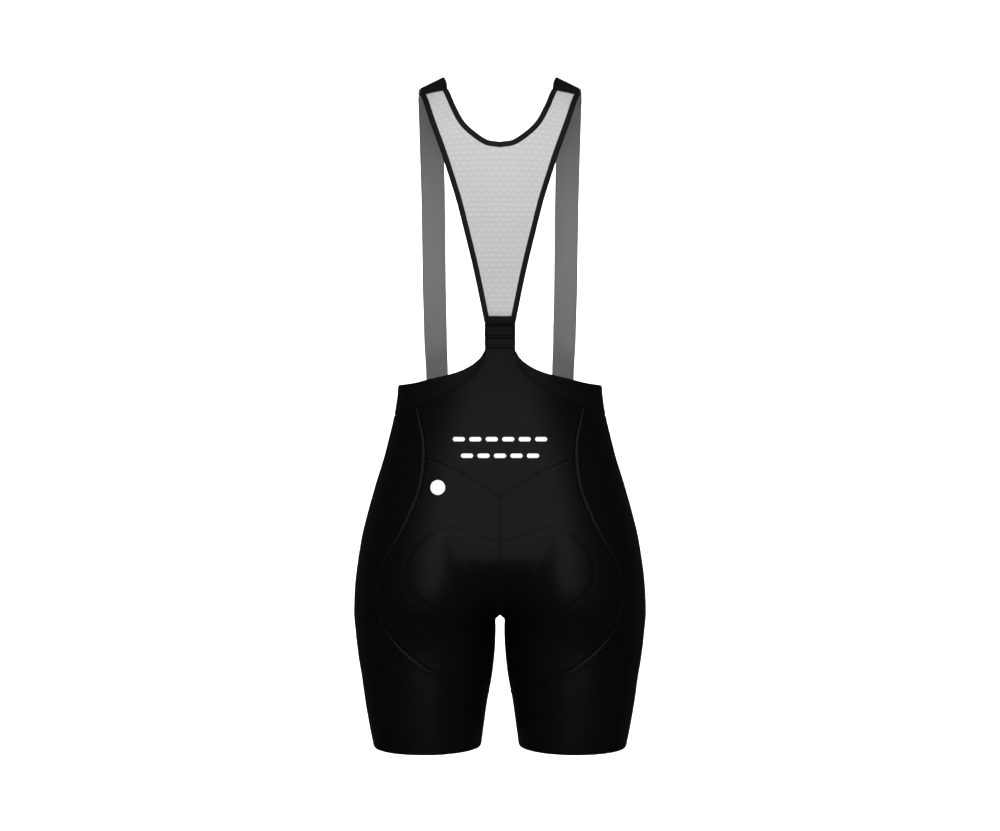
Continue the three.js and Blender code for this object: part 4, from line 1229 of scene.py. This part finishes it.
class BIBSHORTS_OT_mesh_back(Operator):
    """Y-shaped back of knitted mesh, from the shoulders down to the clip"""

    bl_idname = "bibshorts.mesh_back"
    bl_label = "Mesh back"

    def execute(self, context):
        settings = context.scene.bib_shorts.upper
        neck, arm = neck_and_arm()
        end = np.linspace(arm[-1], (0, MESH_END_S), 60)
        inner = border([(neck, 0, MESH_ROWS)], upper)
        outer = border([(arm, 0, MESH_ROWS - 1), (end, MESH_ROWS - 1, MESH_ROWS)], upper)
        shoulder = border([(np.linspace(neck[0], arm[0], FINE), 0, MESH_COLUMNS)], upper)
        centre = border([(np.linspace(neck[-1], outer[1][-1], FINE), 0, MESH_COLUMNS)], upper)
        places = patch(inner, outer, shoulder, centre, MESH_ROWS, MESH_COLUMNS, length=230, width=90)
        whole = np.concatenate([places, places[-2::-1] * (-1, 1)])
        x, s = whole[..., 0], whole[..., 1]
        points, normals = upper(x, s), upper_normal(x, s)
        seam = upper(*shoulder[1][:: FINE // 12].T)
        seams = [(seam * (side, 1, 1), SHOULDER_DIP, SHOULDER_RIDGE) for side in (1, -1)]
        relief = seam_relief(points, seams)
        outer_points = points + normals * relief[..., None]
        colours = (settings.mesh_colour, settings.dot_highlight_colour, settings.painted_shade_colour)
        cloth = kept("knitted_mesh", mesh_knit, *colours)
        wall = (outer_points, outer_points - normals * (settings.mesh_wall / MM), whole)
        dress(add_walls("mesh_back_cloth", [wall], [cloth]), "mesh_back")
        return {"FINISHED"}


def band_rings(line, away, seam_ends, outline):
    """Rings of a band along a line of places. The outline's first number runs across in the surface
    and its second outwards. Near an end the rings lean until the last lies along the seam there."""
    points = upper(line[:, 0], line[:, 1])
    normals = upper_normal(line[:, 0], line[:, 1])
    tangents = unit(np.gradient(points, axis=0))
    square = unit(np.cross(normals, tangents))
    square = square * np.sign((square @ np.array(away, float)))[:, None]
    lengths = lengths_along(points)
    lean = np.zeros(len(line))
    for end, seam in seam_ends:
        share = (seam @ tangents[end]) / (seam @ square[end])
        lean += share * (1 - smooth_step(np.abs(lengths - lengths[end]) / MITRE_LENGTH))
    sides = square + tangents * lean[:, None]
    across, outward = outline.T
    rings = (
        points[:, None]
        + sides[:, None] * across[None, :, None]
        + normals[:, None] * outward[None, :, None]
    )
    uv = np.stack(np.broadcast_arrays(across[None], lengths[:, None]), axis=-1)
    return rings, uv


def ring_faces(rings, around, closed_ends=True):
    """Faces between rings of points, and a cap on each end."""
    index = np.arange(rings * around).reshape(rings, around)
    after = np.roll(index, -1, axis=1)
    sides = np.stack([index[:-1], after[:-1], after[1:], index[1:]], axis=-1).reshape(-1, 4)
    return [sides, index[:1, ::-1], index[-1:]] if closed_ends else [sides]


def rounded_band(width, start, depth, top, power=3.2, count=20):
    """Outline of a band: a superellipse of a width and depth that starts at a distance across."""
    angle = np.linspace(0, 2 * np.pi, count, endpoint=False) + np.pi / count
    r = fullness(angle, power)
    across = start + width / 2 + width / 2 * r * np.cos(angle)
    return np.stack([across, top - depth / 2 + depth / 2 * r * np.sin(angle)], axis=-1)


class BIBSHORTS_OT_bindings(Operator):
    """Black bindings of the neckline and the armholes"""

    bl_idname = "bibshorts.bindings"
    bl_label = "Bindings"

    def execute(self, context):
        settings = context.scene.bib_shorts.upper
        tape = kept("folded_binding_tape", folded_tape, settings.binding_colour)
        neck, arm = neck_and_arm()
        neck, arm = neck[::4], arm[::4]
        seam = unit(upper(*neck[0]) - upper(*arm[0]))
        other = seam * (-1, 1, 1)
        outline = rounded_band(BINDING_WIDTH + BINDING_LAP, -BINDING_LAP, BINDING_DEPTH, BINDING_TOP)
        whole = np.concatenate([neck, neck[-2::-1] * (-1, 1)])
        bands = {
            "neck_binding": (whole, (0, 0, 1), [(0, seam), (-1, other)], NECK_BINDING_CUT),
            "armhole_binding_left": (arm, (1, 0, 0), [(0, -seam)], ARM_BINDING_CUT),
            "armhole_binding_right": (arm * (-1, 1), (-1, 0, 0), [(0, -other)], ARM_BINDING_CUT),
        }
        for node, (line, away, seam_ends, flat) in bands.items():
            rings, uv = band_rings(line, away, seam_ends, outline)
            groups = ring_faces(*rings.shape[:2])
            piece = add_piece(node + "_tape", rings.reshape(-1, 3), groups, uv.reshape(-1, 2), [tape])
            dress(piece, node)
        return {"FINISHED"}


def strap_places(width):
    """Points and normals of the left strap, and its UV. It runs from the mesh over the shoulder. Low
    on the chest it is blended by a smooth step to just inside the front waistband."""
    slant = (ARMHOLE["s"][0] - NECKLINE["s"][0]) / (ARMHOLE["x"][0] - NECKLINE["x"][0])
    middle = SHOULDER_LINE["strapX"][0]
    start = NECKLINE["s"][0] + slant * (middle - NECKLINE["x"][0])
    ends = SHOULDER["s"][(SHOULDER["z"] < STRAP_END_Z) & (SHOULDER["s"] < 0)]
    steps = np.linspace(0, 1, STRAP_STEPS)[:, None]
    edge = np.array(STRAP_EDGE_STEPS) / width
    offset = np.concatenate([edge, np.linspace(0.2, 0.8, STRAP_COLUMNS), 1 - edge[::-1]])
    across = ((offset - 0.5) * width)[None]
    s = start + (ends.max() - start) * steps + 0 * across
    centre = shoulder_at("strapX", s)
    stretch = np.linalg.norm(upper(centre + 1, s) - upper(centre - 1, s), axis=-1) / 2
    flare = JOIN_FLARE * (1 - smooth_step((start - s) / JOIN_FADE))
    x = centre + (across - flare * (0.5 - offset)[None]) / stretch
    s = s + slant * (x - middle) * (1 - smooth_step((start - s) / SLANT_FADE))
    points, normals = upper(x, s), upper_normal(x, s)
    near = smooth_step((STRAP_BLEND_Z - points[..., 2]) / STRAP_BLEND) * (s < 0)
    z = points[..., 2]
    u = around_at(x, z, at_front=True)
    inward = body_normal(u, z)
    weight = near[..., None]
    points = points * (1 - weight) + (body(u, z) - inward * STRAP_INSIDE) * weight
    normals = unit(normals * (1 - weight) + inward * weight)
    rounding = SELVEDGE_DROP * np.exp(-((width / 2 - np.abs(across)) / SELVEDGE_FADE))
    points = points - normals * (rounding + 0 * x)[..., None]
    lengths = lengths_along(points[:, len(offset) // 2])[:, None]
    return points, normals, np.stack(np.broadcast_arrays(across, lengths), axis=-1)


class BIBSHORTS_OT_straps(Operator):
    """Flat elastic straps, from the mesh over the shoulders to inside the front waistband"""

    bl_idname = "bibshorts.straps"
    bl_label = "Straps"

    def execute(self, context):
        settings = context.scene.bib_shorts.upper
        width = settings.strap_width / MM
        points, normals, uv = strap_places(width)
        black = settings.strap_colour
        outside = kept("woven_elastic_outside", woven_elastic, black, black, width / 2)
        grey = settings.strap_inner
        # The inner face is darker along each edge
        inside = kept("woven_elastic_inside", woven_elastic, grey, rgba(grey, 0.85)[:3], width / 2)
        wall = (points, points - normals * (settings.strap_wall / MM), uv)
        add_pair("strap", wall, [outside, inside])
        return {"FINISHED"}


def plate_ring(half, top, bottom, radii, depth, shrink=0.0, arc=8):
    """One ring of a moulded plate: a rectangle with its corners rounded by arcs, drawn in all round
    by a length, at a depth. The radii are those of the upper and the lower corners."""
    half, top, bottom = half - shrink, top - shrink, bottom + shrink
    upper_r, lower_r = (max(radius - shrink, LEAST_CORNER) for radius in radii)
    turn = np.linspace(0, np.pi / 2, arc)
    corners = [
        (half - upper_r, top - upper_r, upper_r, turn),
        (-half + upper_r, top - upper_r, upper_r, turn + np.pi / 2),
        (-half + lower_r, bottom + lower_r, lower_r, turn + np.pi),
        (half - lower_r, bottom + lower_r, lower_r, turn + 1.5 * np.pi),
    ]
    x = np.concatenate([cx + r * np.cos(a) for cx, _, r, a in corners])
    y = np.concatenate([cy + r * np.sin(a) for _, cy, r, a in corners])
    return np.stack([x, y, np.full_like(x, depth)], axis=-1)


def plate_rings(half, top, bottom, radii, base, front, bevel=0.7, back_bevel=0.3):
    """Rings up the side of a plate, with a quarter-round bevel at the front and a small one behind."""
    turn = np.linspace(0, np.pi / 2, 6)
    rings = [plate_ring(half, top, bottom, radii, base, back_bevel)]
    rings.append(plate_ring(half, top, bottom, radii, base + back_bevel))
    for angle in turn:
        shrink, rise = bevel * (1 - np.cos(angle)), bevel * np.sin(angle)
        rings.append(plate_ring(half, top, bottom, radii, front - bevel + rise, shrink))
    return rings


def clip_axes():
    """Directions across, up and out of the clip, and the middle of its top edge, in the plane over
    the end of the mesh and the yoke's neck."""
    mesh_end = upper(np.array(0.0), np.array(MESH_END_S))
    yoke_top = body(0, YOKE_TOP_Z)
    up = unit(mesh_end - yoke_top)
    sideways = np.array([-1.0, 0, 0])
    out = np.cross(sideways, up)
    top = mesh_end + up * (CLIP_TOP_Z - mesh_end[2]) / up[2] + out * CLIP_CLEAR
    return np.stack([sideways, up, out]), top


class BIBSHORTS_OT_clip(Operator):
    """Moulded clip of three pieces, which joins the mesh back to the yoke"""

    bl_idname = "bibshorts.clip"
    bl_label = "Clip"

    def execute(self, context):
        settings = context.scene.bib_shorts.trim
        nylon = kept("moulded_nylon", moulded_nylon, settings.clip_colour)
        half, depth = settings.clip_width / MM / 2, settings.clip_depth / MM
        window_end = -WINDOW_TOP - WINDOW_HEIGHT
        window = (half - WINDOW_FRAME, -WINDOW_TOP, window_end, (WINDOW_CORNER, WINDOW_CORNER))
        back = TONGUE_THICKNESS + CLIP_FIT
        frame_rings = plate_rings(half, 0, -CLIP_UPPER_HEIGHT, (CLIP_CORNER, 1), back, depth)
        frame_rings += [plate_ring(*window, depth - sunk, shrink) for shrink, sunk in WINDOW_BEVEL]
        frame_rings.append(plate_ring(*window, back))
        room = CLIP_ROOM
        insert = (window[0] - room, window[1] - room, window[2] + room, (1, 1))
        insert_rings = plate_rings(*insert, back, depth - INSERT_RECESS, bevel=0.5)
        lower_top = -CLIP_UPPER_HEIGHT - CLIP_GROOVE
        lower = (half, lower_top, lower_top - CLIP_LOWER_HEIGHT, (1, CLIP_CORNER))
        lower_rings = plate_rings(*lower, 0, depth)
        tongue = (half - TONGUE_MARGIN, -TONGUE_TOP, lower_top - 1, (2, 1))
        tongue_rings = plate_rings(*tongue, 0, TONGUE_THICKNESS, bevel=0.2, back_bevel=0.2)
        pieces = {
            "clip_upper": ([frame_rings], True),
            "clip_insert": ([insert_rings], False),
            "clip_lower": ([lower_rings, tongue_rings], False),
        }
        axes, top = clip_axes()
        for node, (shells, looped) in pieces.items():
            points, groups, start = [], [], 0
            for rings in shells:
                rings = np.array(rings)
                count, around = rings.shape[:2]
                faces = ring_faces(count, around, closed_ends=not looped)
                if looped:
                    last, first = np.arange(around) + (count - 1) * around, np.arange(around)
                    faces.append(np.stack([last, np.roll(last, -1), np.roll(first, -1), first], axis=-1))
                groups += [part + start for part in faces]
                points.append(rings.reshape(-1, 3))
                start += count * around
            points = np.concatenate(points)
            placed, uv = points @ axes + top, points[:, :2]
            piece = add_piece(node + "_moulded", placed, groups, uv, [nylon], sharp=35)
            dress(piece, node)
        return {"FINISHED"}


# Stitching and marks


class BIBSHORTS_OT_pad_stitching(Operator):
    """Zigzag stitching that holds the pad inside the seat"""

    bl_idname = "bibshorts.pad_stitching"
    bl_label = "Pad stitching"

    def execute(self, context):
        settings = context.scene.bib_shorts.trim
        thread = kept("sewing_thread", sewing_thread, settings.thread_colour)
        places, _ = pad_places()
        fine = np.stack([body(u, z) for u, z in places])
        lengths = lengths_along(fine)
        pitch = settings.stitch_pitch / MM
        at = np.arange(0, lengths[-1], pitch / STITCH_STEPS)
        u, z = (np.interp(at, lengths, places[:, k]) for k in (0, 1))
        points, normals = body(u, z), body_normal(u, z)
        tangents = unit(np.gradient(points, axis=0))
        sideways = np.cross(normals, tangents)
        wave = 2 / np.pi * np.arcsin(ZIGZAG_SHARPNESS * np.sin(2 * np.pi * at / pitch))
        lift = THREAD_LIFT - THREAD_DIP * (1 - np.abs(wave))
        path = points + sideways * (ZIGZAG_HALF_WIDTH * wave)[:, None]
        path = path + normals * (lift + pad_relief(path))[:, None]
        direction = unit(np.gradient(path, axis=0))
        right = unit(np.cross(direction, normals))
        over = np.cross(right, direction)
        angle = np.linspace(0, 2 * np.pi, THREAD_SIDES, endpoint=False)[None, :, None]
        spokes = right[:, None] * np.cos(angle) + over[:, None] * np.sin(angle)
        rings = path[:, None] + THREAD_RADIUS * spokes
        turns = np.arange(THREAD_SIDES) / THREAD_SIDES
        uv = np.stack(np.broadcast_arrays(turns, at[:, None]), axis=-1)
        groups = ring_faces(*rings.shape[:2])
        for side, mirror in (("left", 1), ("right", -1)):
            points = rings.reshape(-1, 3) * (mirror, 1, 1)
            piece = add_piece(f"pad_stitching_{side}", points, groups, uv.reshape(-1, 2), [thread], sharp=80)
            trim(piece, "lycra")
        return {"FINISHED"}


def mark(place, z, half_width, half_height, radius, side=1, seen=True):
    """A thin film on the cloth: a rectangle about a place, its corners rounded by arcs of 86 degrees,
    moved out from the cloth. It is laid out as seen from behind, about a width x, or by the lengths
    of the surface, about a u."""
    turn = np.linspace(np.radians(86), 0, MARK_STEPS)
    ends = half_width - radius + radius * np.sin(turn)
    across = np.concatenate([-ends, np.linspace(-ends[-1], ends[-1], 7)[1:-1], ends[::-1]])
    rounded = half_height - radius + radius * np.cos(turn)
    heights = np.concatenate([rounded, np.full(5, half_height), rounded[::-1]])
    x, y = across[None], np.linspace(-1, 1, MARK_STEPS)[:, None] * heights[None]
    if seen:
        widths, zs = np.broadcast_arrays(place + x, z + y)
        us = around_at(np.abs(widths), zs) * np.sign(widths)
    else:
        step = np.linalg.norm(body(place + U_STEP, z) - body(place - U_STEP, z)) / (2 * U_STEP)
        us, zs = np.broadcast_arrays(place + x / step, z + y)
    points, normals = body(us, zs), body_normal(us, zs)
    outer, inner = points + normals * FILM_TOP, points + normals * FILM_BASE
    wall = (outer, inner, np.stack(np.broadcast_arrays(x, y), axis=-1))
    return wall if side > 0 else mirrored(wall)


class BIBSHORTS_OT_marks(Operator):
    """Plain reflective marks on the yoke, the seat and the outer thighs"""

    bl_idname = "bibshorts.marks"
    bl_label = "Reflective marks"

    def execute(self, context):
        settings = context.scene.bib_shorts.trim
        film = kept("transfer_film", transfer_film, settings.film_colour)
        yoke = []
        for z, count in YOKE_DASH_ROWS:
            for k in range(count):
                x = (k - (count - 1) / 2) * YOKE_DASH_PITCH
                yoke.append(mark(x, z, YOKE_DASH_HALF, YOKE_DASH_HEIGHT / 2, YOKE_DASH_HEIGHT / 2))
        spot = mark(SPOT_X, SPOT_Z, SPOT_RADIUS, SPOT_RADIUS, SPOT_RADIUS)
        bar = (BAR_HALF, BAR_HALF_HEIGHT, BAR_HALF_HEIGHT)
        thighs = [mark(BAR_U, z, *bar, side, seen=False) for side in (1, -1) for z in BAR_ZS]
        for name, walls in (("yoke_marks", yoke), ("seat_mark", [spot]), ("thigh_marks", thighs)):
            trim(add_walls(name, walls, [film], sharp=40), "reflective_print")
        return {"FINISHED"}


# Stage


def add_light(name, place, target, size, power, spread):
    """A rectangular soft light at a place, turned to a target. The camera doesn't see it."""
    light = bpy.data.lights.new(name, "AREA")
    light.shape = "RECTANGLE"
    light.size, light.size_y = size
    light.energy = power
    light.spread = np.radians(spread)
    lamp = bpy.data.objects.new(name, light)
    lamp.location = place
    lamp.rotation_euler = (Vector(target) - Vector(place)).to_track_quat("-Z", "Y").to_euler()
    lamp.visible_camera = False
    bpy.context.scene.collection.objects.link(lamp)


class BIBSHORTS_OT_stage(Operator):
    """Pale paper floor and backdrop, soft studio lights and the camera"""

    bl_idname = "bibshorts.stage"
    bl_label = "Stage"

    def execute(self, context):
        settings = context.scene.bib_shorts.stage
        scene = context.scene
        floor = HEM_Z * MM - settings.floor_drop
        turn = np.linspace(0, np.pi / 2, 25)
        back = PAPER_BACK - PAPER_BEND * np.sin(turn)
        y = np.concatenate([[PAPER_FRONT], back, back[-1:]])
        z = np.concatenate([[floor], floor + PAPER_BEND * (1 - np.cos(turn)), [PAPER_TOP]])
        x = np.array([-PAPER_HALF_WIDTH, PAPER_HALF_WIDTH])
        grid = np.stack(np.broadcast_arrays(x[None], y[:, None], z[:, None]), axis=-1)
        rows = len(y)
        index = np.arange(rows * 2).reshape(rows, 2)
        faces = np.stack([index[:-1, 0], index[1:, 0], index[1:, 1], index[:-1, 1]], axis=-1)
        mesh = bpy.data.meshes.new("backdrop")
        mesh.from_pydata(grid.reshape(-1, 3).tolist(), [], faces.tolist())
        mesh.shade_smooth()
        mesh.materials.append(kept("studio_paper", studio_paper, settings.paper_colour))
        backdrop = bpy.data.objects.new("backdrop", mesh)
        scene.collection.objects.link(backdrop)
        # The white paper isn't mirrored in the cloth, so the black edges stay dark against it
        backdrop.visible_glossy = False
        for name, (place, target, size, share, spread) in LIGHTS.items():
            add_light(name, place, target, size, share * settings.key_power, spread)
        place, target, size, spread = PAPER_LIGHT
        for side in (-1, 1):
            ends = [(side * end[0], *end[1:]) for end in (place, target)]
            add_light(f"paper_light_{side + 1}", *ends, size, settings.paper_power, spread)
        world = bpy.data.worlds.new("studio")
        world.use_nodes = True
        sky = world.node_tree.nodes["Background"].inputs
        sky["Color"].default_value = (1, 1, 1, 1)
        sky["Strength"].default_value = WORLD_STRENGTH
        scene.world = world
        scene.view_settings.view_transform = "Standard"
        camera = bpy.data.objects.new("camera", bpy.data.cameras.new("camera"))
        camera.data.lens = CAMERA_LENS
        camera.data.sensor_width = CAMERA_SENSOR
        camera.data.sensor_fit = "HORIZONTAL"
        camera.location = (0.0, settings.camera_distance, CAMERA_Z)
        camera.rotation_euler = (np.pi / 2, 0, np.pi)
        scene.collection.objects.link(camera)
        scene.camera = camera
        return {"FINISHED"}


class BIBSHORTS_PT_sidebar(Panel):
    """Buttons that make the pieces, and the settings of each group"""

    bl_idname = "BIBSHORTS_PT_sidebar"
    bl_label = "Bib shorts"
    bl_space_type = "VIEW_3D"
    bl_region_type = "UI"
    bl_category = "Bib shorts"

    def draw(self, context):
        settings = context.scene.bib_shorts
        for name in ("shorts", "upper", "trim", "stage"):
            box = self.layout.box()
            group = getattr(settings, name)
            for key in group.__annotations__:
                box.prop(group, key)
        for operator in OPERATORS:
            self.layout.operator(operator.bl_idname)


OPERATORS = (
    BIBSHORTS_OT_yoke,
    BIBSHORTS_OT_waistband,
    BIBSHORTS_OT_seats,
    BIBSHORTS_OT_sides,
    BIBSHORTS_OT_fronts,
    BIBSHORTS_OT_mesh_back,
    BIBSHORTS_OT_bindings,
    BIBSHORTS_OT_straps,
    BIBSHORTS_OT_clip,
    BIBSHORTS_OT_pad_stitching,
    BIBSHORTS_OT_marks,
    BIBSHORTS_OT_stage,
)
GROUPS = (ShortsSettings, UpperSettings, TrimSettings, StageSettings, BibShortsSettings)


def register():
    """Registers the settings, the operators and the panel."""
    for item in (*GROUPS, *OPERATORS, BIBSHORTS_PT_sidebar):
        bpy.utils.register_class(item)
    bpy.types.Scene.bib_shorts = PointerProperty(type=BibShortsSettings)


def unregister():
    """Takes them away again."""
    del bpy.types.Scene.bib_shorts
    for item in reversed((*GROUPS, *OPERATORS, BIBSHORTS_PT_sidebar)):
        bpy.utils.unregister_class(item)


def main():
    """Makes every piece in order."""
    register()
    for operator in OPERATORS:
        group, name = operator.bl_idname.split(".")
        getattr(getattr(bpy.ops, group), name)()


if __name__ == "__main__":
    main()
